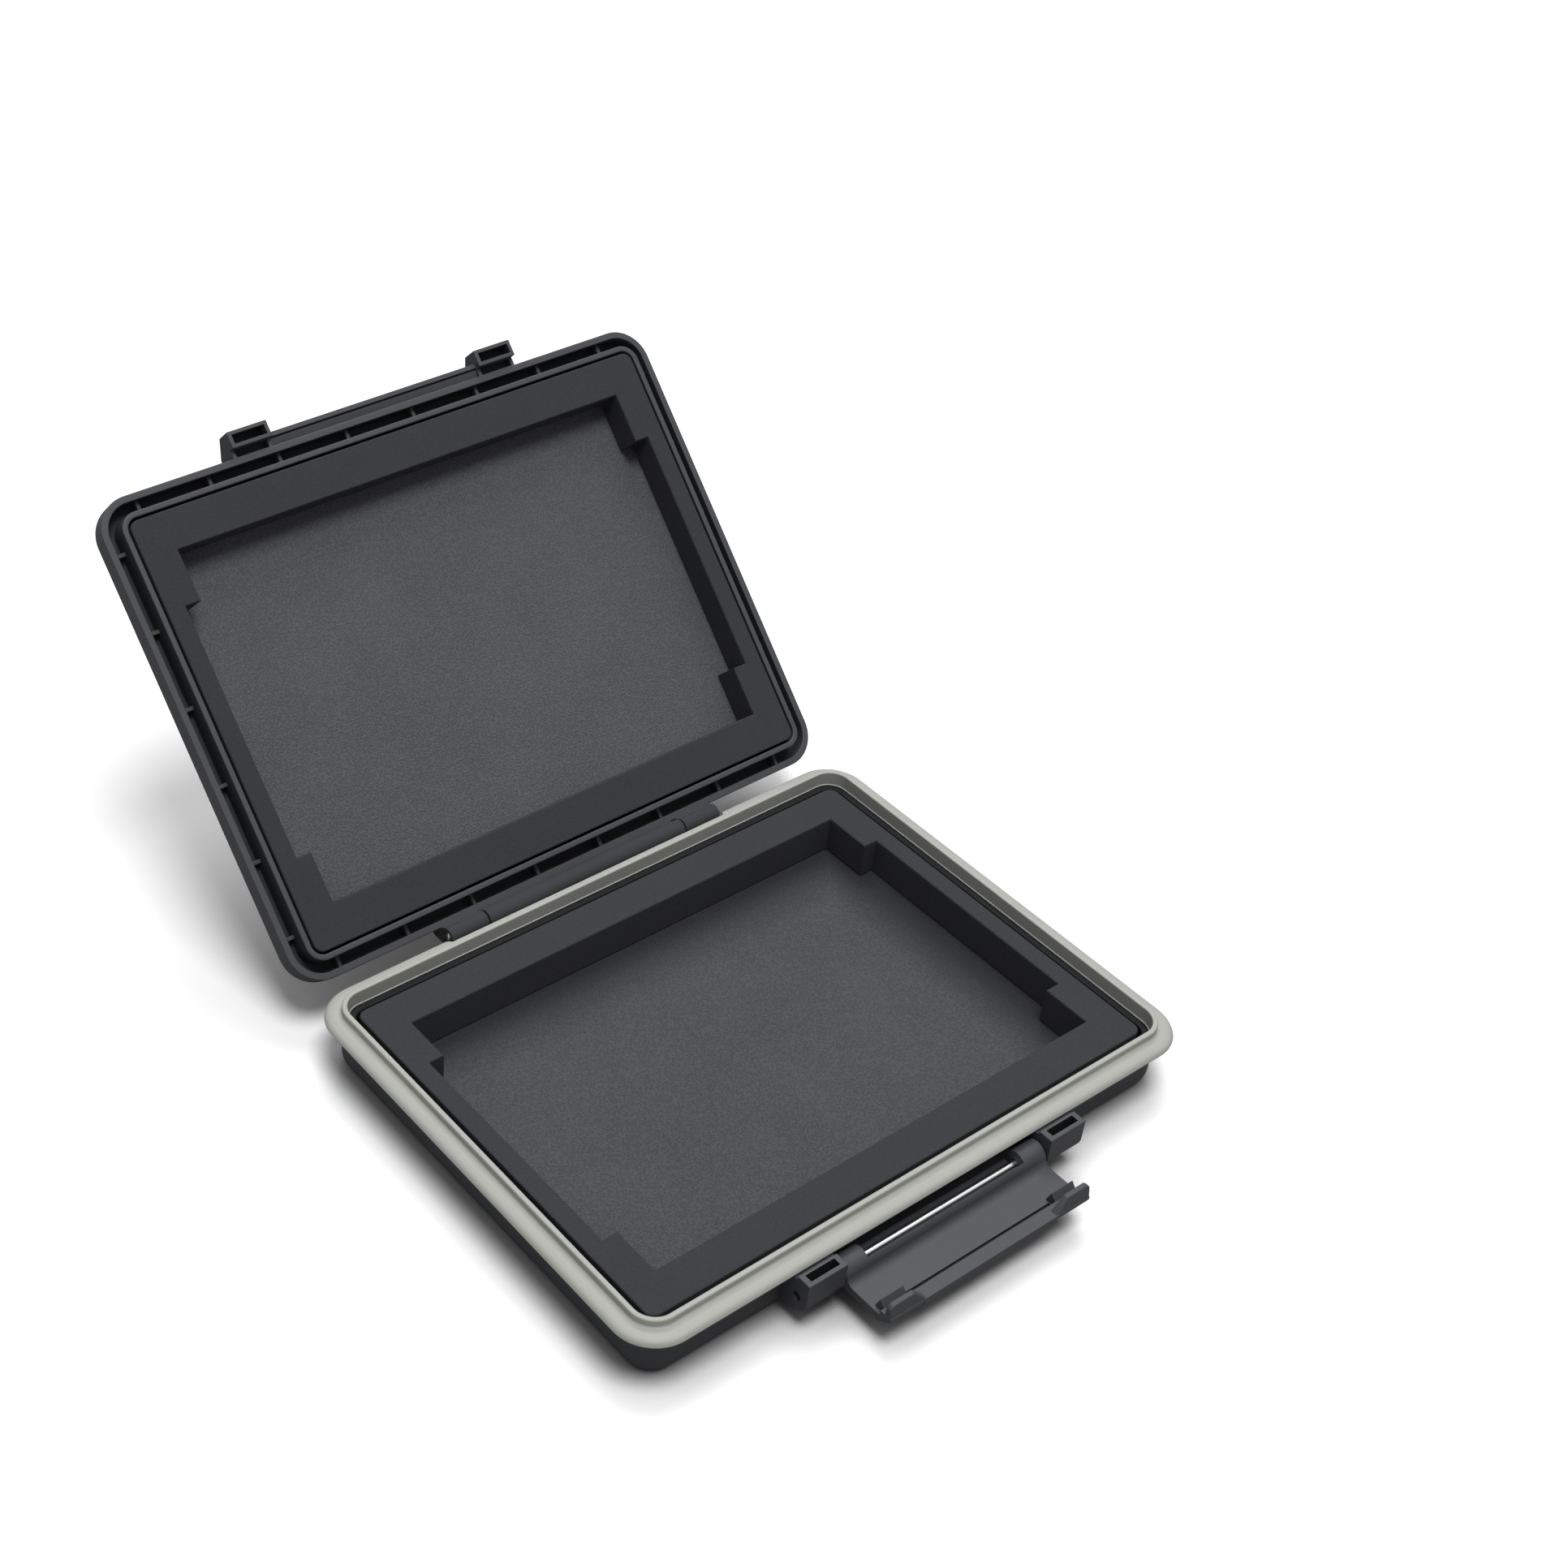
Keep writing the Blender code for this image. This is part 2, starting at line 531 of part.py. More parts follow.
def lid_fittings(lid):
    """Lugs, the catch rail between them, and the hinge's end knuckles with their webs."""
    bm = bmesh.new()
    face_y = -(RIM_Y + LID_FACE_OFFSET)
    inside_y = -(RIM_Y + LIP_INNER_OFFSET + SEAT_GAP)
    block_y = LUG_FRONT_Y + LID_LUG_BLOCK
    rib_z = LIP_Z + SINK
    lug = [
        (inside_y, LID_CREST_Z),
        (face_y, LID_TOP_Z - SINK),
        (LUG_FRONT_Y + LID_LUG_SHOULDER, LID_TOP_Z - LID_LUG_SHOULDER_DROP),
        (LUG_FRONT_Y, LID_LUG_Z + LID_LUG_FRONT_HEIGHT),
        (LUG_FRONT_Y, LID_LUG_Z),
        (block_y, LID_LUG_Z),
        (block_y, rib_z),
        (inside_y, rib_z),
    ]
    on_both_sides(lambda a, b: add_prism(bm, lug, a, b), LUG_INNER_X, LUG_OUTER_X)

    rail_front = LATCH_Y + PLATE_TOP + RAIL_GAP
    rail_top = LIP_Z + RAIL_TOP_RISE
    rail = [
        (rail_front, rail_top),
        (rail_front, rail_top - RAIL_HEIGHT),
        (rail_front + RAIL_THICKNESS, rail_top - RAIL_HEIGHT),
        (rail_front + RAIL_THICKNESS, rail_top - RAIL_SHELF),
        (inside_y, rail_top - RAIL_SHELF),
        (inside_y, rail_top),
    ]
    fittings = cutter(bm, "lid_lugs", lid)
    bm = bmesh.new()
    add_prism(bm, rail, -LUG_INNER_X - OVERLAP, LUG_INNER_X + OVERLAP)
    combine(fittings, cutter(bm, "catch_rail", lid), "UNION")

    bm = bmesh.new()
    wall_y = RIM_Y + LIP_OUTER_OFFSET
    web = [
        (HINGE_Y - KNUCKLE_RADIUS * math.cos(math.radians(KNUCKLE_TANGENT)), HINGE_Z),
        (wall_y - SEAT_GAP, BASE_DEPTH),
        (wall_y - SEAT_GAP, HINGE_Z + WEB_RISE),
        (wall_y + WEB_TOP_OUT, HINGE_Z + WEB_RISE),
        (HINGE_Y + KNUCKLE_RADIUS - SINK, HINGE_Z + WEB_WAIST_RISE),
        (HINGE_Y + KNUCKLE_RADIUS * math.cos(math.radians(KNUCKLE_TANGENT)), HINGE_Z),
    ]
    inner, outer = KNUCKLE_INNER_X + SINK, KNUCKLE_OUTER_X - SINK
    on_both_sides(lambda a, b: add_prism(bm, web, a, b), inner, outer)
    webs = cutter(bm, "knuckle_webs", lid)
    bm = bmesh.new()
    on_both_sides(lambda a, b: add_rod(bm, KNUCKLE_RADIUS, a, b, HINGE_Y, HINGE_Z),
                  KNUCKLE_INNER_X, KNUCKLE_OUTER_X)
    combine(webs, cutter(bm, "knuckles", lid), "UNION")
    combine(fittings, webs, "UNION")
    return fittings


def lid_openings(lid):
    """The pin bore, and the two pockets that lighten each lug."""
    bm = bmesh.new()
    bore = HINGE_PIN_RADIUS + PIN_CLEARANCE
    add_rod(bm, bore, -KNUCKLE_OUTER_X - OVERLAP, KNUCKLE_OUTER_X + OVERLAP, HINGE_Y, HINGE_Z)
    block_y = LUG_FRONT_Y + LID_LUG_BLOCK
    pocket_top = LID_LUG_Z + LID_LUG_POCKET

    def pockets(a, b):
        inner, outer = a + LID_LUG_WALL, b - LID_LUG_WALL
        add_box(bm, (inner, LUG_FRONT_Y + LID_LUG_WALL, LID_LUG_Z - OVERLAP),
                (outer, block_y - LID_LUG_WALL, pocket_top))
        add_box(bm, (inner, block_y, LID_LUG_Z - OVERLAP),
                (outer, -(RIM_Y + LIP_OUTER_OFFSET), pocket_top))

    on_both_sides(pockets, LUG_INNER_X, LUG_OUTER_X)
    return cutter(bm, "lid_bores_and_pockets", lid)


def clip_line(points, limit, sign):
    """Keep the part of a convex outline where sign * (x + y) >= sign * limit."""
    kept = []
    for (ax, ay), (bx, by) in zip(points, points[1:] + points[:1]):
        a_side = sign * (ax + ay - limit)
        b_side = sign * (bx + by - limit)
        if a_side >= 0:
            kept.append((ax, ay))
        if a_side * b_side < 0:
            share = a_side / (a_side - b_side)
            kept.append((ax + (bx - ax) * share, ay + (by - ay) * share))
    return kept


def panel_outline(inset, limits):
    """The lid's face inside its border, cut by lines at 45 degrees."""
    half_x = RIM_X + LID_FACE_OFFSET - FACE_BORDER - inset
    half_y = RIM_Y + LID_FACE_OFFSET - FACE_BORDER - inset
    outline = [(half_x, half_y), (-half_x, half_y), (-half_x, -half_y), (half_x, -half_y)]
    for limit, sign in limits:
        outline = clip_line(outline, limit, sign)
    return outline


def add_recess(bm, layers):
    """A convex recess through outlines at their heights; the last one runs out of the face."""
    verts = [bm.verts.new((x, y, z)) for outline, z in layers for x, y in outline]
    outline = layers[-1][0]
    verts += [bm.verts.new((x, y, LID_TOP_Z + OVERLAP)) for x, y in outline]
    bmesh.ops.convex_hull(bm, input=verts)


def face_panels(lid):
    """Three sunk panels in the lid's face, parted by a raised bar and a slope at 45 degrees."""
    across = math.sqrt(2)
    bar_half = BAR_WIDTH / 2 * across
    floor_z = LID_TOP_Z - CORNER_PANEL_DEPTH
    middle_z = LID_TOP_Z - PANEL_DEPTH
    bar_top = BAR_POSITION + bar_half
    bar_bottom = BAR_POSITION - bar_half
    slope_end = STEP_POSITION - STEP_WIDTH * across
    bm = bmesh.new()
    add_recess(bm, [
        (panel_outline(PANEL_SLOPE, [(bar_top + PANEL_SLOPE * across, 1)]), floor_z),
        (panel_outline(0, [(bar_top, 1)]), LID_TOP_Z),
    ])
    panels = cutter(bm, "upper_panel", lid)
    bm = bmesh.new()
    middle = panel_outline(0, [(bar_bottom, -1), (STEP_POSITION - SEAT_GAP, 1)])
    add_recess(bm, [(middle, middle_z)])
    combine(panels, cutter(bm, "middle_panel", lid), "UNION")
    bm = bmesh.new()
    add_recess(bm, [
        (panel_outline(PANEL_SLOPE, [(slope_end, -1)]), floor_z),
        (panel_outline(0, [(STEP_POSITION, -1)]), middle_z),
    ])
    combine(panels, cutter(bm, "lower_panel", lid), "UNION")
    return panels


def make_latch(pivot):
    """The latch lies open: its outer side is down and its hooks point up."""
    half = LATCH_LENGTH / 2
    bm = bmesh.new()
    add_rod(bm, LATCH_RADIUS, -half, half, LATCH_Y, LATCH_Z)
    latch = finish(bm, "latch", PARTS, pivot, DARK)

    def outward(points):
        return [(LATCH_Y - reach, LATCH_Z + height) for reach, height in points]

    plate = outward([
        (0, -LATCH_RADIUS + SINK),
        (PLATE_REACH, PLATE_BOTTOM),
        (PULL_REACH, PULL_TOP - SEAT_GAP),
        (PULL_REACH, PULL_TOP),
        (PULL_START, PULL_TOP),
        (PULL_START, PLATE_TOP),
        (0, PLATE_TOP),
    ])
    bm = bmesh.new()
    inset = SINK
    add_prism(bm, plate, -half + inset, half - inset)
    combine(latch, cutter(bm, "latch_plate", pivot), "UNION")

    bm = bmesh.new()
    tooth = outward([
        (TOOTH_START, PLATE_TOP - SEAT_GAP),
        (TOOTH_TIP, PLATE_TOP + TOOTH_HEIGHT),
        (PULL_START + SEAT_GAP, PULL_TOP - SINK),
        (PULL_START + SEAT_GAP, PLATE_TOP - SEAT_GAP),
    ])
    on_both_sides(lambda a, b: add_prism(bm, tooth, a, b), TOOTH_FROM_X, TOOTH_TO_X)
    combine(latch, cutter(bm, "latch_teeth", pivot), "UNION")
    combine(latch, latch_lip_walls(pivot, half - inset), "UNION")

    bm = bmesh.new()
    bore = LATCH_PIN_RADIUS + PIN_CLEARANCE
    add_rod(bm, bore, -half - OVERLAP, half + OVERLAP, LATCH_Y, LATCH_Z)
    combine(latch, cutter(bm, "latch_bore", pivot), "DIFFERENCE")
    bm = bmesh.new()
    add_box(bm, (-WINDOW_LENGTH / 2, LATCH_Y - WINDOW_FRONT, LATCH_Z),
            (WINDOW_LENGTH / 2, LATCH_Y + 2 * LATCH_RADIUS, LATCH_Z + 2 * LATCH_RADIUS))
    combine(latch, cutter(bm, "latch_window", pivot), "DIFFERENCE")


def latch_lip_walls(pivot, end_x):
    """Raised walls at both ends of the pull, sloping down to its flat middle."""
    outline = [
        (LIP_WALL_FOOT_X, PULL_TOP - SINK),
        (LIP_WALL_FROM_X, LIP_WALL_TOP),
        (end_x, LIP_WALL_TOP),
        (end_x, PULL_TOP - SINK),
    ]
    front_y = LATCH_Y - PULL_REACH + SINK
    back_y = LATCH_Y - LIP_WALL_START
    bm = bmesh.new()
    for side in (1, -1):
        verts = [bm.verts.new((side * x, front_y, LATCH_Z + z)) for x, z in outline]
        moved = bmesh.ops.extrude_face_region(bm, geom=[bm.faces.new(verts)])["geom"]
        back = pick(moved, bmesh.types.BMVert)
        bmesh.ops.translate(bm, verts=back, vec=(0, back_y - front_y, 0))
    return cutter(bm, "latch_lip_walls", pivot)


def make_pins():
    bm = bmesh.new()
    end = KNUCKLE_OUTER_X - PIN_RECESS
    add_rod(bm, HINGE_PIN_RADIUS, -end, end, HINGE_Y, HINGE_Z)
    finish(bm, "hinge_pin", PARTS, None, STEEL)
    bm = bmesh.new()
    end = LUG_OUTER_X - LUG_POCKET_MARGIN
    add_rod(bm, LATCH_PIN_RADIUS, -end, end, LATCH_Y, LATCH_Z)
    finish(bm, "latch_pin", PARTS, None, STEEL)


clear_scene()
PARTS = new_collection("hard_drive_case")
CUTTERS = new_collection("cutters")
DARK = make_material("dark_plastic", (0.055, 0.058, 0.064), 0.55)
GREY = make_material("grey_seal", (0.42, 0.43, 0.39), 0.5)
FOAM = make_material("foam", (0.045, 0.047, 0.052), 0.95)
STEEL = make_material("steel", (0.75, 0.75, 0.76), 0.2, 1.0)

lid_pivot = make_pivot("lid_hinge", HINGE_Y, HINGE_Z, -LID_ANGLE)
latch_pivot = make_pivot("latch_hinge", LATCH_Y, LATCH_Z)
make_base_shell()
make_seal_frame()
make_lid_shell(lid_pivot)
make_foams(lid_pivot)
make_latch(latch_pivot)
make_pins()
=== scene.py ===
# %% [markdown]
# # A hard drive case
#
# The case is a moulded clamshell: two dark shells on a steel hinge pin, a light-grey seal
# frame round the base, a snap latch at the front, and cut foam in both halves. The packed
# CAD model gives the main sizes and every moving body. This script dresses it: it makes each
# moulding again with rounded edges, puts soft-edged foam in place of the plain blocks, and
# gives each surface its material.

# %% Load the model
import json
import math

import bmesh
import bpy
from mathutils import Matrix, Vector


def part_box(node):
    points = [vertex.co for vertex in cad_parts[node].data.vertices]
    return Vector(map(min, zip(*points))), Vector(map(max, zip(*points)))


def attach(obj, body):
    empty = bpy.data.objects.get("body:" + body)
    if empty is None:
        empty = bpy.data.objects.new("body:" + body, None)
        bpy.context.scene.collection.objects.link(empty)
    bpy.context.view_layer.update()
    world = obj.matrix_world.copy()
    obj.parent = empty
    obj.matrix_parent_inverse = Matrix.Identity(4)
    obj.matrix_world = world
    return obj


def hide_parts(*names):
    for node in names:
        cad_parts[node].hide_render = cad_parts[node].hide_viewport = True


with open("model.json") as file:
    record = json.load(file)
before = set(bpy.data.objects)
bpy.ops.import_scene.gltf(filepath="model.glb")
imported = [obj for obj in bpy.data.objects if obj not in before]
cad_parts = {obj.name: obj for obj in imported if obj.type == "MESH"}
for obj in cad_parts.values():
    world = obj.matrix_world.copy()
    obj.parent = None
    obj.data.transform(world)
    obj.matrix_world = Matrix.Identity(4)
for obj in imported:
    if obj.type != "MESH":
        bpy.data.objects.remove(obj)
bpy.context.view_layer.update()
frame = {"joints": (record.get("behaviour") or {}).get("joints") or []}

# %% [markdown]
# ## Sizes from the frame
#
# A moulded tray is easiest to describe as a section that runs round a line. Here that line
# is the inner edge of the seal ridge, the rim line, and every other edge is so far outside
# or inside it. The rim line, the heights and both joint axes are read from the CAD model,
# so the dressed pieces land exactly where the plain ones are.

# %% Read the rim line, the heights and the joints
MM = 0.001
FLANGE_OFFSET = 4.19 * MM
RIM_RADIUS = 4.12 * MM

frame_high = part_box("seal_frame")[1]
RIM_X = frame_high.x - FLANGE_OFFSET
RIM_Y = frame_high.y - FLANGE_OFFSET
RIDGE_Z = frame_high.z
joints = {joint["name"]: joint for joint in frame["joints"]}
HINGE = Vector(joints["lid_hinge"]["pos_m"])
LATCH = Vector(joints["latch_hinge"]["pos_m"])
LID_ANGLE = math.radians(joints["lid_hinge"]["range_deg"][1])
LID_LIP_Z = RIDGE_Z - 0.34 * MM
LID_TOP_Z = LID_LIP_Z + 6.93 * MM
LATCH_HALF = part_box("latch")[1].x
LATCH_RADIUS = 2.61 * MM
LUG_FRONT = LATCH.y - LATCH_RADIUS
print(f"rim line {2 * RIM_X / MM:.1f} x {2 * RIM_Y / MM:.1f} mm")

# %% [markdown]
# ## Shared shading groups
#
# Moulded plastic is never one flat tone. Its surface copies the texture of the steel mould,
# edges are polished by hands and bags, and a little dust dulls the flat places. Each of
# these effects is a node group that gives a mask, a colour or a height, so that every
# material can use it in its own strength. The patterns read Object coordinates: each mesh
# holds its own place, so a pattern keeps its real size and doesn't slide.

# %% Helpers that lay out nodes
def node(tree, kind, **values):
    """Add a node and set its properties, and its inputs by name."""
    item = tree.nodes.new(kind)
    for name, value in values.items():
        if name in item.bl_rna.properties:
            setattr(item, name, value)
        else:
            item.inputs[name.replace("_", " ")].default_value = value
    return item


def math_node(tree, operation, a, b=0.0, clamp=False):
    """One step of arithmetic on numbers or on other nodes' sockets."""
    item = tree.nodes.new("ShaderNodeMath")
    item.operation = operation
    item.use_clamp = clamp
    for socket, value in zip(item.inputs, (a, b)):
        if isinstance(value, bpy.types.NodeSocket):
            tree.links.new(value, socket)
        else:
            socket.default_value = value
    return item.outputs[0]


def new_group(name, inputs, outputs):
    """A shader group with float sockets; returns the tree and its two end nodes."""
    tree = bpy.data.node_groups.new(name, "ShaderNodeTree")
    for label, value in inputs.items():
        socket = tree.interface.new_socket(name=label, in_out="INPUT",
                                           socket_type="NodeSocketFloat")
        socket.default_value = value
    for label in outputs:
        tree.interface.new_socket(name=label, in_out="OUTPUT", socket_type="NodeSocketFloat")
    return tree, tree.nodes.new("NodeGroupInput"), tree.nodes.new("NodeGroupOutput")


def smooth_step(tree, value, low, high):
    """0 under low, 1 over high, with a soft change between them."""
    item = tree.nodes.new("ShaderNodeMapRange")
    item.interpolation_type = "SMOOTHSTEP"
    item.inputs["From Min"].default_value = low
    item.inputs["From Max"].default_value = high
    tree.links.new(value, item.inputs["Value"])
    return item.outputs["Result"]


# %% [markdown]
# ### Fine mould grain
#
# Spark-eroded steel leaves a fine, even roughness on the plastic. Two noises do it: one at
# about a tenth of a millimetre, and a weaker one a few times coarser that breaks it up. The
# group also puts out a slow variation over centimetres, for the uneven sheen of a moulding.

# %% Fine grain group
def make_grain_group():
    tree, start, end = new_group("fine_grain", {"Grains per mm": 8.0, "Coarse share": 0.35},
                                 ["Height", "Drift"])
    place = tree.nodes.new("ShaderNodeTexCoord").outputs["Object"]
    per_metre = math_node(tree, "MULTIPLY", start.outputs["Grains per mm"], 1000.0)
    fine = node(tree, "ShaderNodeTexNoise", Detail=3.0, Roughness=0.6)
    coarse = node(tree, "ShaderNodeTexNoise", Detail=2.0, Roughness=0.5)
    drift = node(tree, "ShaderNodeTexNoise", Scale=55.0, Detail=3.0, Roughness=0.55)
    for item in (fine, coarse, drift):
        tree.links.new(place, item.inputs["Vector"])
    tree.links.new(per_metre, fine.inputs["Scale"])
    tree.links.new(math_node(tree, "MULTIPLY", per_metre, 0.22), coarse.inputs["Scale"])
    share = start.outputs["Coarse share"]
    rest = math_node(tree, "SUBTRACT", 1.0, share)
    weak = math_node(tree, "MULTIPLY", coarse.outputs["Fac"], share)
    strong = math_node(tree, "MULTIPLY", fine.outputs["Fac"], rest)
    tree.links.new(math_node(tree, "ADD", weak, strong), end.inputs["Height"])
    tree.links.new(drift.outputs["Fac"], end.inputs["Drift"])
    return tree


grain_group = make_grain_group()
print("group", grain_group.name)

# %% [markdown]
# ### Pebble grain
#
# The panels on the outside have the leather-like pebble grain that hides scratches on
# travel cases. Cells from a Voronoi texture make the pebbles, a noise bends their borders,
# and the distance to the cell's edge rounds each one off. A second output marks the tops,
# which handling polishes a little.

# %% Pebble group
def make_pebble_group():
    tree, start, end = new_group("pebble_grain", {"Pebbles per mm": 1.6}, ["Height", "Tops"])
    place = tree.nodes.new("ShaderNodeTexCoord").outputs["Object"]
    per_metre = math_node(tree, "MULTIPLY", start.outputs["Pebbles per mm"], 1000.0)
    bend = node(tree, "ShaderNodeTexNoise", Detail=2.0, Roughness=0.5)
    tree.links.new(place, bend.inputs["Vector"])
    tree.links.new(per_metre, bend.inputs["Scale"])
    shift = node(tree, "ShaderNodeVectorMath", operation="MULTIPLY_ADD")
    shift.inputs[1].default_value = (0.0006, 0.0006, 0.0006)
    tree.links.new(bend.outputs["Color"], shift.inputs[0])
    tree.links.new(place, shift.inputs[2])
    cells = node(tree, "ShaderNodeTexVoronoi", feature="SMOOTH_F1", Smoothness=0.35,
                 Randomness=1.0)
    tree.links.new(shift.outputs[0], cells.inputs["Vector"])
    tree.links.new(per_metre, cells.inputs["Scale"])
    dome = math_node(tree, "SUBTRACT", 1.0, cells.outputs["Distance"], clamp=True)
    fine = node(tree, "ShaderNodeTexNoise", Detail=2.0, Roughness=0.6)
    tree.links.new(place, fine.inputs["Vector"])
    tree.links.new(math_node(tree, "MULTIPLY", per_metre, 4.0), fine.inputs["Scale"])
    rough = math_node(tree, "MULTIPLY", fine.outputs["Fac"], 0.15)
    tree.links.new(math_node(tree, "ADD", dome, rough), end.inputs["Height"])
    tree.links.new(smooth_step(tree, dome, 0.55, 0.9), end.inputs["Tops"])
    return tree


pebble_group = make_pebble_group()
print("group", pebble_group.name)

# %% [markdown]
# ### Edge polish
#
# Edges are where hands, pockets and tables touch a case, so they are a shade lighter and
# smoother than the faces. The Bevel node gives the normal that the surface would have with
# rounder edges, and where that differs from the true normal, an edge is near.

# %% Edge polish group
def make_edge_group():
    tree, start, end = new_group("edge_polish", {"Amount": 1.0}, ["Mask"])
    round_normal = node(tree, "ShaderNodeBevel", samples=4, Radius=0.25 * MM)
    geometry = tree.nodes.new("ShaderNodeNewGeometry")
    dot = node(tree, "ShaderNodeVectorMath", operation="DOT_PRODUCT")
    tree.links.new(round_normal.outputs["Normal"], dot.inputs[0])
    tree.links.new(geometry.outputs["Normal"], dot.inputs[1])
    near = math_node(tree, "SUBTRACT", 1.0, dot.outputs["Value"], clamp=True)
    mask = smooth_step(tree, near, 0.02, 0.25)
    tree.links.new(math_node(tree, "MULTIPLY", mask, start.outputs["Amount"]), end.inputs["Mask"])
    return tree


edge_group = make_edge_group()
print("group", edge_group.name)

# %% [markdown]
# ## The materials
#
# A few finishes cover the case: the satin plastic of rims, lugs and latch, two darker
# plastics whose dark colour is painted shade in channels, pockets, the latch's groove and the
# hinge barrel, the pebble-grained plastic of the outer panels, the seal's light-grey rubber,
# the foams and the pins' steel. Small helpers start each with its Principled shader and vary
# its base colour, roughness and bump, because those three carry the detail in all of them.

# %% Material helpers
def new_material(name, colour, roughness, metallic=0.0, specular=0.5):
    """A material, its node tree and its shader, at plain values to start from."""
    material = bpy.data.materials.new(name)
    material.use_nodes = True
    shader = material.node_tree.nodes["Principled BSDF"]
    shader.inputs["Base Color"].default_value = (*colour, 1.0)
    shader.inputs["Roughness"].default_value = roughness
    shader.inputs["Metallic"].default_value = metallic
    shader.inputs["Specular IOR Level"].default_value = specular
    return material, material.node_tree, shader


def use_group(tree, group, **values):
    """Place a shared group in a material, with its inputs set by name."""
    item = tree.nodes.new("ShaderNodeGroup")
    item.node_tree = group
    for name, value in values.items():
        item.inputs[name.replace("_", " ")].default_value = value
    return item


def vary_colour(tree, shader, mask, dark, light):
    """Base colour between two tones, by a mask."""
    mix = node(tree, "ShaderNodeMix", data_type="RGBA")
    tree.links.new(mask, mix.inputs["Factor"])
    mix.inputs["A"].default_value = (*dark, 1.0)
    mix.inputs["B"].default_value = (*light, 1.0)
    tree.links.new(mix.outputs["Result"], shader.inputs["Base Color"])
    return mix


def vary_roughness(tree, shader, mask, low, high):
    """Roughness from low to high, by a mask."""
    item = tree.nodes.new("ShaderNodeMapRange")
    item.inputs["To Min"].default_value = low
    item.inputs["To Max"].default_value = high
    tree.links.new(mask, item.inputs["Value"])
    tree.links.new(item.outputs["Result"], shader.inputs["Roughness"])


def bump(tree, shader, height, depth, strength=1.0):
    """Turn a height from 0 to 1 into a normal, at a real depth in metres."""
    item = node(tree, "ShaderNodeBump", Strength=strength, Distance=depth)
    tree.links.new(height, item.inputs["Height"])
    tree.links.new(item.outputs["Normal"], shader.inputs["Normal"])


# %% [markdown]
# Satin plastic: a dark, slightly blue grey. The grain is only a few hundredths of a
# millimetre deep, so it shows as a soft sheen rather than as a pattern, and the drift makes
# that sheen uneven over a face.

# %% Plastic materials
PLASTIC = (0.049, 0.0505, 0.056)
PLASTIC_EDGE = (0.08, 0.083, 0.09)


def make_satin_plastic():
    material, tree, shader = new_material("satin_plastic", PLASTIC, 0.5, specular=0.3)
    grain = use_group(tree, grain_group, Grains_per_mm=7.0, Coarse_share=0.3)
    edge = use_group(tree, edge_group, Amount=0.6)
    drift = math_node(tree, "MULTIPLY", grain.outputs["Drift"], 0.35)
    tone = math_node(tree, "ADD", drift, edge.outputs["Mask"], clamp=True)
    vary_colour(tree, shader, tone, PLASTIC, PLASTIC_EDGE)
    vary_roughness(tree, shader, grain.outputs["Drift"], 0.45, 0.65)
    bump(tree, shader, grain.outputs["Height"], 0.02 * MM, 0.6)
    return material


def make_pebble_plastic():
    material, tree, shader = new_material("pebble_plastic", PLASTIC, 0.5)
    pebbles = use_group(tree, pebble_group, Pebbles_per_mm=1.65)
    tops = pebbles.outputs["Tops"]
    vary_colour(tree, shader, tops, (0.036, 0.038, 0.043), (0.062, 0.065, 0.072))
    vary_roughness(tree, shader, tops, 0.6, 0.4)
    bump(tree, shader, pebbles.outputs["Height"], 0.15 * MM)
    return material


def make_shade_plastic(name, dark, light):
    """Dull plastic whose dark colour is painted shade, for channels, pockets, grooves and the
    hinge.
    """
    material, tree, shader = new_material(name, dark, 0.85, specular=0.15)
    grain = use_group(tree, grain_group, Grains_per_mm=4.0, Coarse_share=0.5)
    vary_colour(tree, shader, grain.outputs["Drift"], dark, light)
    vary_roughness(tree, shader, grain.outputs["Drift"], 0.75, 0.95)
    bump(tree, shader, grain.outputs["Height"], 0.04 * MM, 0.7)
    return material


satin_plastic = make_satin_plastic()
pebble_plastic = make_pebble_plastic()
# Painted shade: the lighter copy for the lid's channel, lug pockets, hinge barrel and knuckles,
# the darkest for the base's inner wall, lug pockets and the latch's groove.
channel_shade_plastic = make_shade_plastic("channel_shade_plastic", (0.034, 0.0355, 0.039),
                                   (0.047, 0.049, 0.054))
pocket_shade_plastic = make_shade_plastic("pocket_shade_plastic", (0.014, 0.0145, 0.016),
                                  (0.022, 0.023, 0.026))
plastics = (satin_plastic, pebble_plastic, channel_shade_plastic, pocket_shade_plastic)
print("plastics:", [material.name for material in plastics])

# %% [markdown]
# The seal frame is soft rubber in a light grey with a hint of green. Rubber is duller than
# the plastic and picks up dust, so its roughness is high and a pale drift lies over it.

# %% Seal material
def make_seal_rubber():
    material, tree, shader = new_material("seal_rubber", (0.42, 0.43, 0.38), 0.6)
    grain = use_group(tree, grain_group, Grains_per_mm=6.0, Coarse_share=0.5)
    vary_colour(tree, shader, grain.outputs["Drift"], (0.318, 0.326, 0.297), (0.362, 0.37, 0.338))
    vary_roughness(tree, shader, grain.outputs["Drift"], 0.52, 0.7)
    bump(tree, shader, grain.outputs["Height"], 0.014 * MM, 0.5)
    return material


seal_rubber = make_seal_rubber()
print("seal:", seal_rubber.name)

# %% [markdown]
# Foam scatters light in the cut cells of its surface, so it has almost no gloss. The ring
# round the drive is a dense, fine foam. The pads at the bottom of the pockets are a little
# lighter, with cells just big enough to see as a fine mottle. The base's pad is a darker
# copy of the pad foam, painted shade, and darker still towards the pocket's rear and right
# walls, a painted shadow of those walls.

# %% Foam materials
CUT_X, CUT_Y = 50.45 * MM, 34.925 * MM


